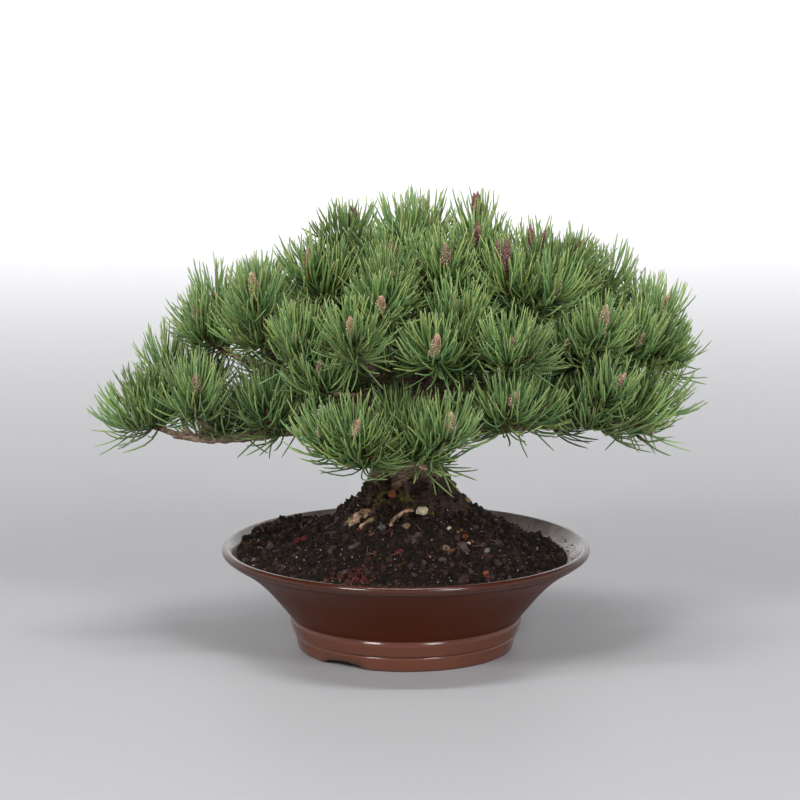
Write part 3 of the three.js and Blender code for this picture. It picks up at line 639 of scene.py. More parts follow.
def pot_material(name, gloss, roughness):
    m = Nodes(name)
    dust_and_sheen, painted_band_light, lip = m.tint()[:3]
    cloud = m.noise(7, 2, 0.4)
    wall = m.mix(cloud, (74, 32, 15), (81, 36, 18))
    # The lip is painted darker than the wall: painted shade against the light from above.
    wall = m.mix(lip, wall, (62, 28, 16))
    # The band and the foot are painted lighter than the flared wall: painted light on the band, painted
    # shade on the wall under the lip's overhang.
    base = m.mix(painted_band_light, wall, m.mix(cloud, (99, 56, 40), (108, 63, 47)))
    # Inside, below the rim, a pale film is mixed in: a painted sheen standing for the bright surroundings
    # mirrored in the wall. The dark specks with it are real soil dirt.
    painted_sheen = m.mix(m.ramp(m.noise(46, 6, 0.65), [(0.35, 0.55), (0.7, 1.0)]), base, (204, 194, 188))
    with_painted_sheen = m.mix(m.times(dust_and_sheen, 0.86), base, painted_sheen)
    specks = m.ramp(m.cells(300), [(0.05, 1.0), (0.12, 0.0)])
    where = m.patches(40, 4, 0.5, 0.62)
    speck = m.times(specks, m.times(where, dust_and_sheen))
    m.set(Base_Color=m.mix(speck, with_painted_sheen, (30, 22, 18)))
    m.set(Roughness=m.ramp(m.noise(8, 2, 0.4), [(0.3, roughness), (0.7, roughness + 0.03)]))
    m.set(Specular_IOR_Level=gloss)
    m.bump(m.noise(700, 2), 0.02, 0.0002)
    return m.material


# ---- Pot -------------------------------------------------------------
POT_SIDES = 288
# Inside this radius the floor is one flat face above and one below.
FLOOR_MIDDLE = 20


def wall_point(u, inwards):
    """The flared wall's section: almost straight, then opening out to the lip. u runs from waist to lip."""
    width = POT.rim_radius - POT.lip_radius - POT.waist_radius
    rise = POT.flare_top - POT.waist_height
    r = POT.waist_radius + width * (0.75 * u + 0.25 * u**4)
    z = POT.waist_height + rise * u
    slope = width * (0.75 + u**3) / rise
    turn = np.hypot(1, slope)
    return r - inwards / turn, z + inwards * slope / turn


def rounded(corners, radius, steps):
    """A section's corners, each cut back and rounded."""
    corners = [vec(c) for c in corners]
    made = [corners[0]]
    for before, corner, after in zip(corners, corners[1:], corners[2:]):
        reach = min(radius, norm(before - corner) / 2.2, norm(after - corner) / 2.2)
        a = corner + unit(before - corner) * reach
        b = corner + unit(after - corner) * reach
        for t in np.linspace(0, 1, steps + 1):
            made.append((1 - t) ** 2 * a + 2 * t * (1 - t) * corner + t * t * b)
    made.append(corners[-1])
    return made


def pot_section():
    """The wall's section, from the floor's underside out, up over the lip and down inside."""
    foot = POT.foot_radius
    inner = POT.foot_inner_radius
    foot_height = POT.foot_height
    floor_radius = POT.floor_radius
    floor_top = POT.floor_top
    outside = [
        (FLOOR_MIDDLE, POT.floor_underside),
        (inner, POT.floor_underside),
        (inner + 0.8, 0),
        (foot, 0),
        (foot + 2, foot_height - 1),
        (foot + 1.2, foot_height + 0.1),
        (POT.band_foot_radius, foot_height + 1.2),
        (POT.band_radius, POT.shoulder_height - 1),
        (POT.waist_radius - 0.5, POT.waist_height - 0.1),
        wall_point(0.03, 0),
        wall_point(0.07, 0),
    ]
    section = rounded(outside, 2.2, 5)
    section += [vec(wall_point(u, 0)) for u in np.linspace(0.1, 0.97, 16)]
    lip = vec((POT.rim_radius - POT.lip_radius, POT.height - POT.lip_radius))
    for degrees in range(-55, 131, 12):
        angle = math.radians(degrees)
        section.append(lip + POT.lip_radius * vec((math.cos(angle), math.sin(angle))))
    section += [vec(wall_point(u, POT.wall)) for u in np.linspace(0.95, 0, 16)]
    section += [vec((floor_radius + 4, floor_top + 2)), vec((floor_radius, floor_top))]
    section.append(vec((FLOOR_MIDDLE, floor_top)))
    return np.array(section)


def notch_height(angle):
    """How high the foot's edge is at an angle: 0, or an arch's height where water can run off."""
    width, height = FOOT_NOTCH.width, FOOT_NOTCH.height
    arch_radius = ((width / 2) ** 2 + height**2) / (2 * height)
    turn = math.radians(360 / FOOT_NOTCH.count)
    from_middle = (angle - math.radians(FOOT_NOTCH.first_angle) + turn / 2) % turn - turn / 2
    across = from_middle * (POT.foot_radius + POT.foot_inner_radius) / 2
    inside = np.maximum(arch_radius**2 - across**2, 0)
    return np.maximum(np.sqrt(inside) - (arch_radius - height), 0)


def cut_drain_holes(pot):
    """Cuts the drain holes through the floor, and gives it back its tint, which the cut upsets."""
    beyond = 3
    shape = Shape()
    for index in range(DRAIN_HOLE.count):
        angle = math.radians(DRAIN_HOLE.first_angle + index * 360 / DRAIN_HOLE.count)
        place = DRAIN_HOLE.distance * vec((math.cos(angle), math.sin(angle), 0))
        ends = [place + UP * (POT.floor_underside - beyond), place + UP * (POT.floor_top + beyond)]
        shape.add(*tube(ends, DRAIN_HOLE.radius, 32), slot=1)
    drill = shape.make("drill", [], smooth=False)
    cut = pot.modifiers.new("drain_holes", "BOOLEAN")
    cut.operation = "DIFFERENCE"
    cut.object = drill
    mesh = keep_modified_mesh(pot)
    bpy.data.objects.remove(drill)
    x, y, z = ((vectors_of(mesh, "co") - POT_AXIS) / MM).T
    floor = (np.hypot(x, y) < POT.foot_inner_radius) & (z < POT.floor_top + 0.1)
    tint = mesh.color_attributes["tint"]
    # The floor takes the band's colour, which is painted lighter.
    for index in np.flatnonzero(floor).tolist():
        tint.data[index].color = (0, 1, 0, 1)


def make_pot():
    section = pot_section()
    angles = circle(POT_SIDES)
    r = section[:, 0][:, None]
    x, y = polar(r, angles)
    z = np.broadcast_to(section[:, 1][:, None], x.shape).copy()
    lifted = notch_height(angles)[None]
    in_foot = (r > POT.foot_inner_radius - 0.5) & (z < FOOT_NOTCH.height + 0.5)
    z = np.where(in_foot, np.maximum(z, lifted), z)
    points = np.stack([x, y, z], -1)
    rings, sides = x.shape
    inside = np.arange(rings)[:, None] > int(np.argmax(section[:, 1]))
    # Inside below the rim: real soil specks, and a painted sheen of the bright surroundings.
    dust_and_sheen = smoothstep(POT.rim_radius - 2, POT.rim_radius - 8, r) * inside * np.ones(sides)
    # Outside, from the waist down, the band and the foot are painted lighter: painted light.
    painted_band_light = smoothstep(POT.waist_height + 2, POT.shoulder_height - 4, z) * ~inside
    # The lip is painted darker: painted shade.
    lip = smoothstep(POT.height - 10, POT.height - 6, z)
    shape = Shape()
    tint = np.stack([dust_and_sheen.ravel(), painted_band_light.ravel(), lip.ravel()], -1)
    shape.add(points, closed_faces(rings, sides), tint)
    # The flared wall has the first material; the lip, the band, the foot and the inside have the second.
    flared = (section[:, 1] > POT.waist_height) & (section[:, 1] < POT.height - 9)
    shape.slots = [np.repeat(np.where(flared[:-1], 0, 1), sides), [1, 1]]
    wall_material = pot_material("brown_plastic", 0.08, 0.32)
    edge_material = pot_material("brown_plastic_edges", 0.42, 0.15)
    pot = shape.make("pot_body", [wall_material, edge_material])
    cut_drain_holes(pot)
    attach(pot, "root")
    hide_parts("pot")


# ---- Soil ------------------------------------------------------------
def heap_share(angle):
    """How much of the heap at the wall, behind on the left, is at an angle."""
    away = (np.asarray(angle) - math.radians(SOIL_HEAP.angle) + math.pi) % (2 * math.pi) - math.pi
    return np.exp(-((away / math.radians(SOIL_HEAP.spread)) ** 2))


def soil_edge(angle):
    """Where the soil meets the wall: higher on the left, lower on the right."""
    u = 0.893 - 0.042 * np.cos(angle) + 0.008 * np.sin(3 * angle + 1) + 0.006 * np.sin(7 * angle)
    u = u + 0.022 * heap_share(angle)
    return wall_point(u, POT.wall + 0.35)


def soil_height(x, y):
    angle = np.arctan2(y, x)
    edge, edge_height = soil_edge(angle)
    u = np.clip((edge - np.hypot(x, y)) / (edge - SOIL.mound_radius), 0, 1)
    side = np.cos(angle + 0.5)
    fullness = 1 + np.where(side > 0, 0.25, 0.42) * side * np.sin(math.pi * u)
    heap = SOIL_HEAP.height * heap_share(angle) * np.exp(-(((u - 0.1) / 0.13) ** 2))
    mound = heap + (SOIL.mound_height - edge_height) * fullness * (0.45 * u + 0.55 * u * u)
    lumps = np.sin(x / 8.5 + 1.3) * np.sin(y / 7.5) + 0.6 * np.sin((x - y) / 5 + 2)
    return edge_height + mound + np.minimum(1, u * 9) * (2.2 + SOIL.lump * lumps)


def soil_surface(x, y):
    """The dressed surface: the plain one with clods and crumbs."""
    flat = np.stack([x, y, np.zeros_like(x)], -1).reshape(-1, 3)
    clods = fractal(flat, 15, 3).reshape(x.shape)
    crumbs = fractal(flat + 50, 4.2, 3).reshape(x.shape)
    edge, _ = soil_edge(np.arctan2(y, x))
    inside = smoothstep(0, 7, edge - np.hypot(x, y))
    return soil_height(x, y) + inside * (1.8 * clods + 1.7 * crumbs)


def make_soil():
    """The bed: its dressed surface from the middle out, then down along the wall to the pot's floor."""
    rings, sides = 150, 460
    angles = circle(sides)
    edge, _ = soil_edge(angles)
    x, y = polar(edge * np.sqrt(np.linspace(0.0004, 1, rings))[:, None], angles)
    top = np.stack([x, y, soil_surface(x, y)], -1)
    down = [wall_point(u, POT.wall + 0.4) for u in np.linspace(0.8, 0.0, 4)]
    down.append((POT.floor_radius - 1, POT.floor_top + 0.5))
    wall = [np.stack([*polar(r, angles), np.full(sides, z)], -1) for r, z in down]
    grid = np.concatenate([top, np.array(wall)])
    shape = Shape()
    shape.add(grid, [rows[:, ::-1] for rows in closed_faces(len(grid), sides)])
    soil = shape.make("soil_bed", [soil_material()])
    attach(soil, "root")
    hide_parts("soil")


# A ball of 20 faces, and the same ball split finer.
GOLDEN_RATIO = (1 + math.sqrt(5)) / 2
LUMP_CORNERS = [
    corner
    for a in (-1, 1)
    for b in (-GOLDEN_RATIO, GOLDEN_RATIO)
    for corner in ((0, a, b), (a, b, 0), (b, 0, a))
]


def hull_faces():
    """The faces between the ball's corners, each with its corners anticlockwise from outside."""
    corners = np.array(LUMP_CORNERS, float)
    longest_edge = 2.1
    faces = []
    for i, j, k in combinations(range(12), 3):
        a, b, c = corners[[i, j, k]]
        if max(norm(a - c), norm(b - a), norm(c - b)) < longest_edge:
            outwards = np.dot(np.cross(b - a, c - a), a + b + c)
            faces.append((i, j, k) if outwards > 0 else (i, k, j))
    return np.array(faces)


LUMP_FACES = hull_faces()


def ball(times):
    """A ball's points and faces: the 20-faced one, with each face split in four so many times."""
    corners = [tuple(p) for p in unit(np.array(LUMP_CORNERS))]
    faces = LUMP_FACES.tolist()
    for _ in range(times):
        halves = {}
        finer = []

        def half(a, b):
            key = (min(a, b), max(a, b))
            if key not in halves:
                halves[key] = len(corners)
                corners.append(tuple(unit(np.array(corners[a]) + np.array(corners[b]))))
            return halves[key]

        for a, b, c in faces:
            ab, bc, ca = half(a, b), half(b, c), half(c, a)
            finer += [(a, ab, ca), (b, bc, ab), (c, ca, bc), (ab, bc, ca)]
        faces = finer
    return np.array(corners), np.array(faces)


PEBBLE_POINTS, PEBBLE_FACES = ball(1)
STONE_POINTS, STONE_FACES = ball(2)


def turned(rng, points):
    """Points turned at random."""
    spin, _ = np.linalg.qr(rng.normal(size=(3, 3)))
    if np.linalg.det(spin) < 0:
        spin[:, 0] *= -1
    return points @ spin.T


def lump_shape(rng):
    """A small uneven crumb of about unit size: a dented ball of 12 corners."""
    corners = unit(np.array(LUMP_CORNERS, float)) * rng.uniform(0.72, 1.15, (12, 1))
    return corners * np.array([1, rng.uniform(0.6, 1), 0.75 * rng.uniform(0.7, 1)])


def stone_body(rng, points, roughness, flatness):
    """A rough stone of about unit size."""
    bumps = fractal(points * 1.3 + rng.uniform(0, 90, 3), 1.0, 3)[:, None]
    body = points * (1 + roughness * bumps)
    return body * np.array([1, rng.uniform(0.65, 0.95), flatness * rng.uniform(0.75, 1)])


def drop(shape, rng, place, size, body, faces, sink=0.35):
    """Lays a stone or a grain on a place, turned at random and a little sunk in."""
    body = turned(rng, body) * size
    shape.add(body + vec(place) + UP * size * sink, faces, (0, rng.uniform(), 0))


def soil_piece(shape, name, material, smooth=False):
    piece = shape.make(name, [material], smooth=smooth)
    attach(piece, "root")


def scatter(name, material, count, sizes, kind, seed):
    """Crumbs, clods or chips lying in the soil's surface, a little inside its edge and round the trunk."""
    margin = 2
    bare_share = 0.1
    rng = seeded(seed)
    shape = Shape()
    angles = rng.uniform(0, 2 * math.pi, count)
    x, y = polar((soil_edge(angles)[0] - margin) * np.sqrt(rng.uniform(bare_share, 1, count)), angles)
    smallest, largest = sizes
    for place in zip(x, y, soil_surface(x, y)):
        size = smallest + (largest - smallest) * rng.power(0.45)
        if kind == "clod":
            drop(shape, rng, place, size, stone_body(rng, PEBBLE_POINTS, 0.6, 0.8), PEBBLE_FACES, 0.25)
        elif kind == "chip":
            drop(shape, rng, place, size, lump_shape(rng) * np.array([1.0, 0.45, 0.22]), LUMP_FACES)
        else:
            drop(shape, rng, place, size, lump_shape(rng), LUMP_FACES)
    soil_piece(shape, name, material)


# Stones that can be told apart, by kind: dark and light colour, then X, Y and radius (and Z on the
# trunk's foot).
STONES = {
    "cream": ((186, 170, 138), (238, 228, 202), [
        (13, -48.5, 4.6, 121), (34, -58, 2.4), (50, -61, 1.6),
    ]),
    "tan": ((106, 84, 62), (158, 128, 100), [
        (38, -6, 3.6, 134), (50, -5, 2.6, 121), (74, -6, 2.4), (0, -56, 3.4), (32, -75, 3.6),
        (44, -53, 1.8),
    ]),
    "grey": ((84, 78, 78), (136, 130, 130), [
        (-19, -57, 3.2), (64, -66, 3.3), (-43, -69, 2.6), (-118, -18, 3.0), (-122, -38, 2.6),
    ]),
    "mauve": ((48, 38, 37), (86, 72, 70), [
        (6, -71, 3.0), (46, -73, 5.6), (29, -89, 3.6), (-110, -13, 3.6),
    ]),
    "red": ((64, 25, 25), (112, 50, 46), [
        (-4, -85, 2.8), (17, -89, 2.6), (-88, -13, 3.0), (-82, -18, 2.4), (-92, -20, 2.2),
    ]),
    "orange": ((104, 60, 40), (160, 100, 68), [
        (-11, -38, 3.6, 133), (69, -2, 3.0), (47, -56, 2.6), (52, -58, 2.2), (57, -56, 2.0),
        (41, -58, 1.7), (63, -95, 3.0),
    ]),
}
# Heaps of small lava grains: place, how far they spread, and how many there are.
LAVA_HEAPS = [
    ((-37, -110), 11, 46), ((-53, -107), 4, 12), ((-6, -86), 4, 9), ((-86, -15), 7, 14), ((63, -95), 5, 9),
]


def on_soil(x, y):
    return x, y, float(soil_surface(np.array([x]), np.array([y]))[0])


def make_stones():
    for index, (kind, (dark, light, rows)) in enumerate(STONES.items()):
        rng = seeded(160 + index)
        shape = Shape()
        for x, y, size, *height in rows:
            place = (x, y, *height) if height else on_soil(x, y)
            drop(shape, rng, place, size, stone_body(rng, STONE_POINTS, 0.45, 0.8), STONE_FACES, 0.3)
        if kind == "red":
            for (x, y), spread, count in LAVA_HEAPS:
                for dx, dy in rng.normal(0, spread * 0.5, (count, 2)):
                    place = on_soil(x + dx, y + dy)
                    body = stone_body(rng, PEBBLE_POINTS, 0.6, 0.9)
                    drop(shape, rng, place, rng.uniform(0.8, 2.1), body, PEBBLE_FACES, 0.4)
        soil_piece(shape, f"{kind}_stones", grain_material(f"{kind}_stone", dark, light, 0.8))


def make_straws():
    """Dry needles and straws fallen on the soil: some in places of their own, the others anywhere."""
    rng = seeded(81)
    shape = Shape()
    places = [(-28, -80), (-24, -82), (-30, -76), (47, -58), (10, -60), (-60, -40), (70, -50), (-5, -100)]
    places += list(rng.uniform(-110, 110, (13, 2)))
    nearest, furthest = 40, 126
    for x, y in places:
        if not nearest <= math.hypot(x, y) <= furthest:
            continue
        turn = rng.uniform(0, 2 * math.pi)
        reach = rng.uniform(3, 8)
        along = np.linspace(-1, 1, 7) * reach
        line_x = x + along * math.cos(turn) + rng.normal(0, 0.4, 7).cumsum() * 0.4
        line_y = y + along * math.sin(turn)
        line_z = soil_surface(line_x, line_y) + 1.2
        line_z = (line_z + line_z.max()) / 2
        line = np.stack([line_x, line_y, line_z], -1)
        shape.add(*tube(line, rng.uniform(0.3, 0.55), 5), tint=(0, rng.uniform(), 0))
    soil_piece(shape, "straws", grain_material("straw", (78, 40, 27), (134, 94, 66), 0.7), smooth=True)


def make_wall_specks():
    """Soil crumbs that stick to the flared wall above the soil, mostly on the right and at the back."""
    rng = seeded(83)
    shape = Shape()
    angles = np.concatenate([rng.normal(0.9, 0.5, 90), rng.normal(-0.2, 0.3, 50), rng.uniform(0, 6.3, 90)])
    for angle in angles:
        edge_r, _ = soil_edge(angle)
        u = rng.uniform(0.88, 0.965)
        r, z = wall_point(u, POT.wall)
        if r < edge_r + 0.5:
            continue
        place = (r * math.cos(angle), r * math.sin(angle), z)
        drop(shape, rng, place, rng.uniform(0.3, 0.85), lump_shape(rng), LUMP_FACES)
    soil_piece(shape, "wall_specks", grain_material("speck", (20, 15, 13), (48, 36, 30), 0.9))


def trunk_radius(height):
    return np.interp(height, [place[2] for place, _ in TRUNK], [radius for _, radius in TRUNK])


FOOT = Values(lowest=110, rise=40, axis_x=2, inside_bark=3.0, crumbs=2350, grit_every=16)


def make_foot_crumbs():
    """Earth and moss that cling to the trunk's foot, thinning out upwards, with some grit."""
    rng = seeded(85)
    earth, moss, grit = Shape(), Shape(), Shape()
    for index in range(FOOT.crumbs):
        height = FOOT.lowest + FOOT.rise * rng.power(0.55) ** 1.6
        angle = rng.uniform(0, 2 * math.pi)
        radius = trunk_radius(height) - FOOT.inside_bark
        place = np.array([FOOT.axis_x + radius * math.cos(angle), radius * math.sin(angle), height])
        away = norm((place - vec(MOSS.middle)) / vec(MOSS.reach))
        mossy = noise.noise(Vector(place / 14)) > 0.4 * away and rng.uniform() < 0.8
        size = 0.7 + 2.0 * rng.power(0.4)
        body = stone_body(rng, PEBBLE_POINTS, 0.6, 0.8)
        drop(moss if mossy else earth, rng, place, size * (0.75 if mossy else 1), body, PEBBLE_FACES, 0.1)
        if index % FOOT.grit_every == 0:
            outwards = unit(place - vec((FOOT.axis_x, 0, height)))
            drop(grit, rng, place + outwards * 1.8, rng.uniform(0.4, 1.0), lump_shape(rng), LUMP_FACES)
    soil_piece(grit, "foot_grit", grain_material("foot_grit", (104, 84, 68), (196, 176, 150), 0.85))
    soil_piece(earth, "foot_crumbs", grain_material("foot_earth", (16, 11, 8), (72, 52, 40), 0.95))
    green = grain_material("foot_moss", (62, 58, 26), (122, 114, 56), 0.95)
    soil_piece(moss, "foot_moss", green, smooth=True)


# Loose grains: the piece, its material's name, dark and light colour and roughness, then how many there are,
# their smallest and largest radius, and their kind.
GRAINS = [
    ("soil_crumbs", "crumbs", (12, 7, 5), (54, 37, 27), 0.9, 7500, (0.5, 1.9), "crumb"),
    ("soil_clods", "clods", (16, 10, 8), (64, 45, 35), 0.85, 1100, (1.2, 3.8), "clod"),
    ("bark_chips", "chips", (50, 32, 24), (100, 66, 48), 0.85, 260, (1.4, 4.4), "chip"),
    ("lava_grains", "lava", (70, 34, 28), (112, 60, 50), 0.85, 110, (0.8, 2.2), "crumb"),
    ("pumice_grains", "pumice", (104, 94, 88), (190, 182, 172), 0.85, 950, (0.4, 1.1), "crumb"),
    ("mauve_grains", "mauve", (46, 36, 34), (84, 70, 66), 0.85, 190, (1.4, 3.8), "clod"),
]


def make_grains():
    for seed, (name, material, dark, light, roughness, count, sizes, kind) in enumerate(GRAINS, 1):
        scatter(name, grain_material(material, dark, light, roughness), count, sizes, kind, seed)
    make_stones()
    make_straws()
    make_wall_specks()
    make_foot_crumbs()


# ---- Wood ------------------------------------------------------------
WOOD_VOXEL = 1.1
WOOD_SIDES = 14
ROOT_SIDES = 20
BARK = Values(plate=7.5, plate_squeeze=0.55, warp=2.2, warp_size=6, groove=1.6, lump=2.6, lump_size=11)
# Between these heights the bark gives way to earth, along an uneven border.
EARTH = Values(gone_above=150, full_below=132, wander=14, wander_size=18)


def trunk_line():
    points = Curve([place for place, _ in TRUNK], 60).points
    return points, trunk_radius(points[:, 2])


def lines_of_wood(limbs, sprays):
    """Centre line and radii of everything woody above the roots: the trunk, its limbs and twigs."""
    rng = seeded(7)
    lines = [trunk_line()]
    for name, limb in limbs.items():
        if name == "leader":
            continue
        points = limb.curve.points.copy()
        share = np.linspace(0, 1, len(points))
        wander = fractal(points + 31, 30, 2)[:, None] * np.array([0.4, 0.4, 1.0]) * 2.0
        points += wander * (np.sin(math.pi * share) ** 0.5)[:, None]
        lines.append((points, np.array([limb_radius(limb, s) for s in share])))
    for spray in sprays:
        root, start = spray.root, spray.start
        share = np.linspace(0, 1, 8)[:, None]
        bow = rng.normal(0, 0.05, 3) * norm(start - root) * np.sin(math.pi * share)
        points = root + (start - root) * share + bow
        lines.append((points, np.linspace(spray.root_radius, STEM.twig_radius, len(points))))
    return lines


def make_wood(limbs, sprays):
    """Trunk, limbs and twigs, fused into one skin."""
    lines = lines_of_wood(limbs, sprays)
    shape = Shape()
    for points, radii in lines:
        shape.add(*tube(points, radii, WOOD_SIDES))
    rough = shape.make("wood", [bark_material()])
    fuse = rough.modifiers.new("fuse", "REMESH")
    fuse.mode = "VOXEL"
    fuse.voxel_size = WOOD_VOXEL * MM
    finish_bark(keep_modified_mesh(rough), lines)
    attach(rough, "root")
    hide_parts("trunk_and_branches")


def finish_bark(mesh, lines):
    """Plates, cracks and moss, deeper where the wood is thicker."""
    points = (vectors_of(mesh, "co") - POT_AXIS) / MM
    normals = vectors_of(mesh, "normal")
    tree = kdtree.KDTree(sum(len(p) for p, _ in lines))
    thickness = []
    for line, radii in lines:
        for place, radius in zip(line, radii):
            tree.insert(place.tolist(), len(thickness))
            thickness.append(radius)
    tree.balance()
    radius = np.array([thickness[tree.find(p)[1]] for p in points.tolist()])
    drift = [fractal(points + shift, BARK.warp_size, 2) for shift in (3, 21, 45)]
    warped = points + BARK.warp * np.stack(drift, -1)
    plates = cracks(warped * np.array([1, 1, BARK.plate_squeeze]), BARK.plate)
    lumps = fractal(points + 9, BARK.lump_size, 4)
    fine = fractal(points + 77, 2.6, 3)
    # Relief of the bark: deep on the trunk, fine on twigs, with knots on limbs in between.
    depth = np.clip((radius - 3) / 21, 0.02, 1)
    deep = BARK.groove * smoothstep(0, 0.35, plates) - BARK.groove + BARK.lump * lumps
    relief = depth * deep + (0.25 + 0.6 * depth) * fine
    relief += smoothstep(2.4, 4, radius) * smoothstep(16, 9, radius) * fractal(points + 200, 8, 3)
    # Towards the soil the foot is caked with earth instead.
    border = points[:, 2] + EARTH.wander * fractal(points + 140, EARTH.wander_size, 3)
    earth = smoothstep(EARTH.gone_above, EARTH.full_below, border)
    clods = 2.4 * fractal(points + 300, 6.5, 4) + 1.2 * fine - 2.8 * smoothstep(108, 118, points[:, 2])
    relief = relief * (1 - earth) + clods * earth
    points += normals * relief[:, None]
    mesh.vertices.foreach_set("co", (points * MM + POT_AXIS).ravel())
    mesh.polygons.foreach_set("use_smooth", np.full(len(mesh.polygons), True))
    if "tint" in mesh.color_attributes:
        mesh.color_attributes.remove(mesh.color_attributes["tint"])
    away = norm((points - vec(MOSS.middle)) / vec(MOSS.reach), axis=1)
    moss = smoothstep(1.3, 0.5, away) + 0.35 * smoothstep(210, 150, points[:, 2]) * (1 - earth)
    moss = moss + 0.25 * smoothstep(0.1, 0.8, normals[:, 2]) * (1 - earth)
    age = smoothstep(7, 17, radius)
    write_tint(mesh, np.stack([plates, np.clip(moss, 0, 1), age], -1))
    mesh.attributes.new("earth", "FLOAT", "POINT").data.foreach_set("value", earth)
    mesh.update()


def make_roots():
    """Bare surface roots: uneven, with knuckles."""
    shape = Shape()
    for index, (path, (thick, thin)) in enumerate(ROOTS):
        line = Curve(path, 40).points
        points, faces = tube(line, np.linspace(thick, thin, len(line)), ROOT_SIDES)
        centres = np.repeat(line, ROOT_SIDES, axis=0)
        outwards = unit(points - centres)
        knuckles = 0.55 * fractal(points + 60 * index, 6, 3) + 0.2 * fractal(points + 500, 1.8, 2)
        shape.add(points + outwards * knuckles[:, None] * thick, faces)
    roots = shape.make("surface_roots", [root_material()])
    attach(roots, "root")


# ---- Shoots and needles ----------------------------------------------
# A needle keeps to its heading by its stiffness. The two of a pair lean apart.
NEEDLE = Values(length=43, radius=0.79, stiffness=0.38, scatter=0.17, tilt_scatter=9, pair_lean=(0.04, 0.13))
# The end of a stem, under its bud, has no needles.
BARE_END = 0.5
# The places of a needle's rings along it, and their widths; the tip follows.
NEEDLE_PLACES = np.array([0.0, 0.14, 0.32, 0.52, 0.74, 0.93])
NEEDLE_WIDTHS = np.array([0.75, 0.95, 1.0, 1.0, 0.92, 0.66])


def needles(shape, roots, headings, finals, lengths, tints, rng):
    """Slim pointed needles. Each leaves its root along its heading and turns towards its final direction."""
    count = len(roots)
    steps = len(NEEDLE_PLACES)
    places = np.append(NEEDLE_PLACES, 1.0)
    line = [roots]
    directions = []
    for before, after in zip(places, places[1:]):
        turned_by = smoothstep(-0.12, 0.92, (before + after) / 2)
        direction = unit(headings * (1 - turned_by) + finals * turned_by)
        directions.append(direction)
        line.append(line[-1] + direction * (lengths * (after - before))[:, None])
    line = np.stack(line, 1)
    directions = np.stack(directions, 1)
    side = unit(np.cross(headings, rng.normal(size=(count, 3))))[:, None]
    across = unit(side - directions * np.sum(side * directions, -1, keepdims=True))
    other = np.cross(directions, across)
    angles = circle(3)
    spokes = across[:, :, None] * np.cos(angles)[:, None] + other[:, :, None] * np.sin(angles)[:, None]
    thick = rng.uniform(0.86, 1.1, (count, 1, 1, 1))
    rings = line[:, :steps, None] + spokes * thick * (NEEDLE.radius * NEEDLE_WIDTHS)[None, :, None, None]
    points = np.concatenate([rings.reshape(count, -1, 3), line[:, -1:]], 1)
    each = 3 * steps + 1
    tip = each - 1
    quads = ring_faces(steps, 3)
    last = 3 * (steps - 1)
    ends = np.array([[last, last + 1, tip], [last + 1, last + 2, tip], [last + 2, last, tip], [2, 1, 0]])
    starts = (np.arange(count) * each)[:, None, None]
    along = np.append(np.repeat(NEEDLE_PLACES, 3), 1.0)
    tint = np.empty((count, each, 3))
    tint[:, :, 0] = along
    tint[:, :, 1:] = tints[:, None]
    faces = [(quads[None] + starts).reshape(-1, 4), (ends[None] + starts).reshape(-1, 3)]
    shape.add(points, faces, tint.reshape(-1, 3))


# How needles stand: their angle to the stem from the oldest to the youngest, how far they turn upwards,
# how far the lowest ones hang, and how much they keep to the stem's own direction. Then their age, from 0
# to 1, how many pairs there are, and the length of stem that they grow on.
YOUNG = Values(tilts=(80, 34), upwards=0.74, hang=0.1, forwards=0.26, age=0.08, pairs=(36, 45), reach=19)
OLDER = Values(tilts=(98, 70), upwards=0.52, hang=0.2, forwards=0.15, age=0.5, pairs=(20, 29), reach=20)
INNER = Values(tilts=(88, 30), upwards=0.5, hang=0.2, forwards=0.25, age=0.8, pairs=27, reach=14)

# The crown's underside, along X, as the height at which the viewer sees it in the tree's middle plane.
UNDERSIDE = [
    (-265, 172), (-240, 148), (-205, 158), (-120, 150), (-90, 156), (-65, 140), (-40, 130), (0, 138),
    (30, 122), (58, 130), (72, 164), (110, 150), (130, 162), (170, 158), (215, 152), (245, 168),
]


def above_underside(places):
    """Whether places are seen above the crown's underside."""
    seen = places[:, 2] - CROWN.view_slope * np.abs(places[:, 1])
    edge_x, edge_z = zip(*UNDERSIDE)
    return seen > np.interp(places[:, 0], edge_x, edge_z)


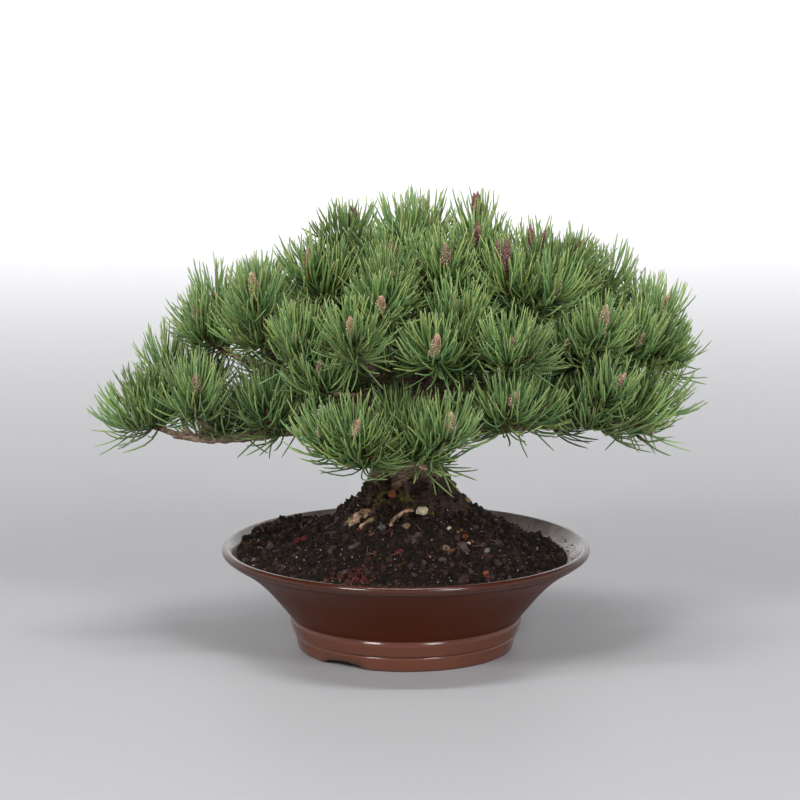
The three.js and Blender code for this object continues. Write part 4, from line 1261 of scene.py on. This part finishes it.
def clothe(shape, line, zone, count, habit, rng, length=1.0):
    """Pairs of needles round a stem. zone gives the distances from the line's far end."""
    walked = walked_along(line)
    share = (np.arange(count) + 0.5) / count
    distance = np.clip(walked[-1] - (zone[0] + (zone[1] - zone[0]) * share), 0, walked[-1])
    roots, axis, first, second = (columns_at(distance, walked, v) for v in (line, *frames_along(line)))
    angle = GOLDEN_ANGLE * np.arange(count) + rng.normal(0, 0.3, count) + rng.uniform(0, 6)
    outwards = unit(first * np.cos(angle)[:, None] + second * np.sin(angle)[:, None])
    around = np.cross(axis, outwards)
    oldest, youngest = habit.tilts
    unevenness = rng.normal(0, NEEDLE.tilt_scatter, count)
    tilt = np.radians(oldest + (youngest - oldest) * share**0.9 + unevenness)
    parts = []
    for lean in (-1, 1):
        spread = lean * rng.uniform(*NEEDLE.pair_lean, count)[:, None]
        heading = unit(axis * np.cos(tilt)[:, None] + outwards * np.sin(tilt)[:, None] + around * spread)
        rises = smoothstep(-1.0, -0.25, heading[:, 2])[:, None]
        final = heading * NEEDLE.stiffness + axis * habit.forwards + UP * (habit.upwards * rises)
        final = final - UP * habit.hang * (1 - rises) + around * spread * 1.6
        parts.append((heading, unit(final + rng.normal(0, NEEDLE.scatter, (count, 3)))))
    headings = np.concatenate([p[0] for p in parts])
    finals = np.concatenate([p[1] for p in parts])
    base = np.concatenate([roots, roots])
    lengths = NEEDLE.length * length * np.clip(rng.normal(0.96, 0.08, 2 * count), 0.7, 1.1)
    old = np.clip(habit.age + rng.normal(0, 0.12, 2 * count), 0, 1)
    tints = np.stack([rng.uniform(0, 1, 2 * count), old], -1)
    ends = base + unit(headings + finals) * lengths[:, None]
    # Needles that point down are rarer.
    kept = rng.uniform(size=2 * count) < 0.3 + 0.7 * smoothstep(-0.8, -0.2, headings[:, 2])
    kept &= above_underside(ends)
    needles(shape, base[kept], headings[kept], finals[kept], lengths[kept], tints[kept], rng)


# Kinds of bud: its share of the year's growth, radius and redness, how many stand together, and how much
# further out than in the solids it stands.
BUDS = {
    "candle": Values(share=0.95, radius=3.8, redness=0.2, count=1, rise=4),
    "purple": Values(share=0.88, radius=3.5, redness=1.0, count=2, rise=10),
    "red": Values(share=0.9, radius=3.5, redness=0.7, count=1, rise=8),
    "small": Values(share=0.65, radius=2.7, redness=0.45, count=1, rise=2),
}


def add_bud(shape, foot, axis, length, kind, rng):
    """A bud: a slim pointed core with overlapping pointed scales round it."""
    bud = BUDS[kind]
    share = np.linspace(0, 1, 7)
    swell = np.array([0.75, 0.95, 1.0, 0.95, 0.8, 0.55, 0.12])
    line = foot + axis * (share * length)[:, None]
    points, faces = tube(line, bud.radius * 0.85 * swell, 8)
    shape.add(points, faces, (0.4, 0.5, bud.redness), 1)
    _, across, other = frames_along(line)
    count = int(length * 4.2)
    for i in range(count):
        along = (i + 0.5) / count
        angle = i * GOLDEN_ANGLE
        outwards = across[0] * math.cos(angle) + other[0] * math.sin(angle)
        sideways = np.cross(axis, outwards)
        radius = bud.radius * np.interp(along, share, swell)
        height = 3.4 * (1 - 0.35 * along)
        width = max(radius * 0.55, 0.5)
        low = foot + axis * (along * length * 0.93 - 0.6) + outwards * radius * 0.8
        tip = low + axis * height + outwards * (0.7 + 0.7 * rng.uniform())
        ridge = low + axis * height * 0.45 + outwards * radius * 0.38
        scale = [low + sideways * width, low - sideways * width, ridge, tip]
        tint = [(0.2, 0, 0), (0.2, 0, 0), (0.6, 0, 0), (1.0, 0, 0)]
        tint = np.array(tint) + np.array([0, rng.uniform(), bud.redness * rng.uniform(0.7, 1)])
        shape.add(scale, np.array([[0, 2, 3], [1, 3, 2], [0, 1, 2], [0, 3, 1]]), tint, 1)


def spray_lines(spray, rng):
    """The stem of each shoot of a spray, from the spray's start to its bud's foot."""
    lines = []
    for base, tip, kind in spray.shoots:
        axis = unit(tip - base)
        bud_length = norm(tip - base) * BUDS[kind].share
        foot = tip - axis * bud_length
        fork = spray.start + spray.direction * FORK_LENGTH
        points = Curve([spray.start, fork, base, foot], 18).points
        share = np.linspace(0, 1, len(points))[:, None]
        points = points + rng.normal(0, 0.35, 3) * np.sin(math.pi * share)
        lines.append((points, axis, foot, bud_length, kind))
    return lines


def make_spray(spray, index, materials):
    """The stems, buds and needles of a spray, which take the place of the solid one."""
    rng = seeded(100 + index)
    leafy = Shape()
    woody = Shape()
    for line, axis, foot, bud_length, kind in spray_lines(spray, rng):
        length = np.sum(norm(np.diff(line, axis=0), axis=1))
        young = min(YOUNG.reach, length * 0.6)
        bud_foot = foot + axis * BUDS[kind].rise
        stem = np.vstack([line, bud_foot])
        radii = np.interp(np.linspace(0, 1, len(stem)), [0, 0.5, 1], [STEM.twig_radius, STEM.radius, 1.7])
        woody.add(*tube(stem, radii, 8), tint=(0, rng.uniform(), 0.3))
        clothe(leafy, line, (young, BARE_END), int(rng.uniform(*YOUNG.pairs)), YOUNG, rng)
        older = min(length, young + OLDER.reach)
        clothe(leafy, line, (older, young), int(rng.uniform(*OLDER.pairs)), OLDER, rng)
        for side in range(BUDS[kind].count):
            lean = rng.normal(0, 0.1, 3) if side == 0 else rng.normal(0, 0.3, 3)
            bud_axis = unit(axis + lean)
            add_bud(woody, bud_foot - axis * 1.5, bud_axis, bud_length * rng.uniform(0.9, 1.05), kind, rng)
        add_side_shoot(leafy, woody, line[int(len(line) * rng.uniform(0.15, 0.5))], axis, rng)
    foliage = leafy.make(f"needles_{spray.name}", [materials.needles])
    stems = woody.make(f"shoots_{spray.name}", [materials.twig, materials.bud])
    for piece in (foliage, stems):
        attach(piece, "root")
    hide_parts(f"spray_{spray.name}")


def add_side_shoot(leafy, woody, root, axis, rng):
    """A short side shoot with older needles, which fills the crown's inside."""
    sideways = unit(np.cross(axis, rng.normal(size=3)))
    heading = unit(axis * 0.5 + sideways + UP * 0.25)
    tip = root + heading * rng.uniform(14, 24)
    twig = Curve([root, root + heading * 6, tip], 8).points
    woody.add(*tube(twig, np.linspace(1.5, 1.1, len(twig)), 6), tint=(0, rng.uniform(), 0.6))
    clothe(leafy, twig, (INNER.reach, BARE_END), INNER.pairs, INNER, rng, length=0.92)


# Short side shoots on the bare parts of limbs: from and to which share of the limb, and how many.
LIMB_SHOOTS = {
    "low_left": (0.45, 0.93, 9),
    "low_right": (0.6, 0.95, 4),
    "mid_left": (0.5, 0.95, 4),
    "mid_right": (0.5, 0.95, 4),
    "high_right": (0.5, 0.95, 3),
    "high_left": (0.5, 0.95, 2),
}


def make_limb_shoots(limbs, materials):
    rng = seeded(77)
    leafy = Shape()
    woody = Shape()
    for name, (first, last, count) in LIMB_SHOOTS.items():
        curve = limbs[name].curve
        for share in np.linspace(first, last, count) + rng.normal(0, 0.02, count):
            root = curve.at(share)
            outwards = unit(np.array([rng.normal(0, 0.5), rng.normal(0, 0.8), rng.uniform(0.1, 1.0)]))
            add_side_shoot(leafy, woody, root, outwards, rng)
    foliage = leafy.make("needles_on_limbs", [materials.needles])
    twigs = woody.make("twigs_on_limbs", [materials.twig])
    for piece, slot in ((foliage, "needles"), (twigs, "bark")):
        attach(piece, "root")


def make_foliage(limbs, sprays):
    materials = Values(needles=needle_material(), twig=twig_material(), bud=bud_material())
    make_limb_shoots(limbs, materials)
    for index, spray in enumerate(sprays):
        make_spray(spray, index, materials)


# ---- Stage -----------------------------------------------------------
VIEW = Values(place=(-4.8, -2545.4, 679.9), pitch=10.6, lens=144, sensor=36, clip_end=50)


def make_camera():
    camera = add_object("camera", bpy.data.cameras.new("camera"))
    camera.data.sensor_width = VIEW.sensor
    camera.data.lens = VIEW.lens
    camera.data.clip_end = VIEW.clip_end
    camera.location = Vector(vec(VIEW.place) * MM + POT_AXIS)
    camera.rotation_euler = (math.radians(90 - VIEW.pitch), 0, 0)
    bpy.context.scene.camera = camera


def add_light(name, place, target, size, power):
    light = bpy.data.lights.new(name, "AREA")
    light.shape = "RECTANGLE"
    light.size, light.size_y = size
    light.energy = power
    lamp = add_object(name, light)
    lamp.location = place
    lamp.rotation_euler = (Vector(target) - Vector(place)).to_track_quat("-Z", "Y").to_euler()


def make_floor():
    """A wide pale floor that sweeps up into a round wall, far outside any view of the tree."""
    flat, bend, wall_top, sides = 4200, 1000, 4500, 96
    profile = [(1, 0), (flat * 0.5, 0), (flat, 0)]
    for degrees in range(6, 91, 6):
        turn = math.radians(degrees)
        profile.append((flat + bend * math.sin(turn), bend * (1 - math.cos(turn))))
    profile.append((flat + bend, wall_top))
    points = [(*polar(r, angle), z) for r, z in profile for angle in circle(sides)]
    shape = Shape()
    shape.add(points, [ring_faces(len(profile), sides), np.arange(sides)[None]])
    m = Nodes("pale_floor")
    m.set(Base_Color=(0.40, 0.40, 0.41, 1), Roughness=0.6)
    floor = shape.make("floor", [m.material])


def make_light():
    world = bpy.data.worlds.new("studio")
    bpy.context.scene.world = world
    world.use_nodes = True
    background = world.node_tree.nodes["Background"].inputs
    background["Color"].default_value = (0.96, 0.97, 1.0, 1)
    background["Strength"].default_value = 0.1
    target = (0, 0, 0.2)
    add_light("key", (-1.3, -1.85, 1.6), target, (0.6, 0.5), 35)
    add_light("fill", (1.1, -1.9, 1.6), target, (0.6, 0.5), 27)
    add_light("top", (0.0, -0.2, 2.4), target, (2.0, 0.9), 9)
    add_light("strip", (0.03, -0.45, 2.3), target, (1.3, 0.08), 21)
    # Four lights turned outwards brighten the round wall, most of all behind the tree.
    backdrops = (("behind", 0, 1, 270), ("before", 0, -1, 170), ("left", -1, 0, 170), ("right", 1, 0, 170))
    near, far, high, low = 2.6, 4.6, 2.6, 0.8
    for side, x, y, power in backdrops:
        place = (near * x, near * y, high)
        add_light(f"backdrop_{side}", place, (far * x, far * y, low), (3.6, 1.0), power)
    bpy.context.scene.view_settings.view_transform = "Standard"


# ---- Assembly --------------------------------------------------------
make_camera()
make_floor()
make_light()
limbs, shoots = whole_crown()
sprays = [spray for name, limb in limbs.items() for spray in group_shoots(name, limb, shoots[name])]
make_pot()
make_soil()
make_grains()
make_wood(limbs, sprays)
make_roots()
make_foliage(limbs, sprays)
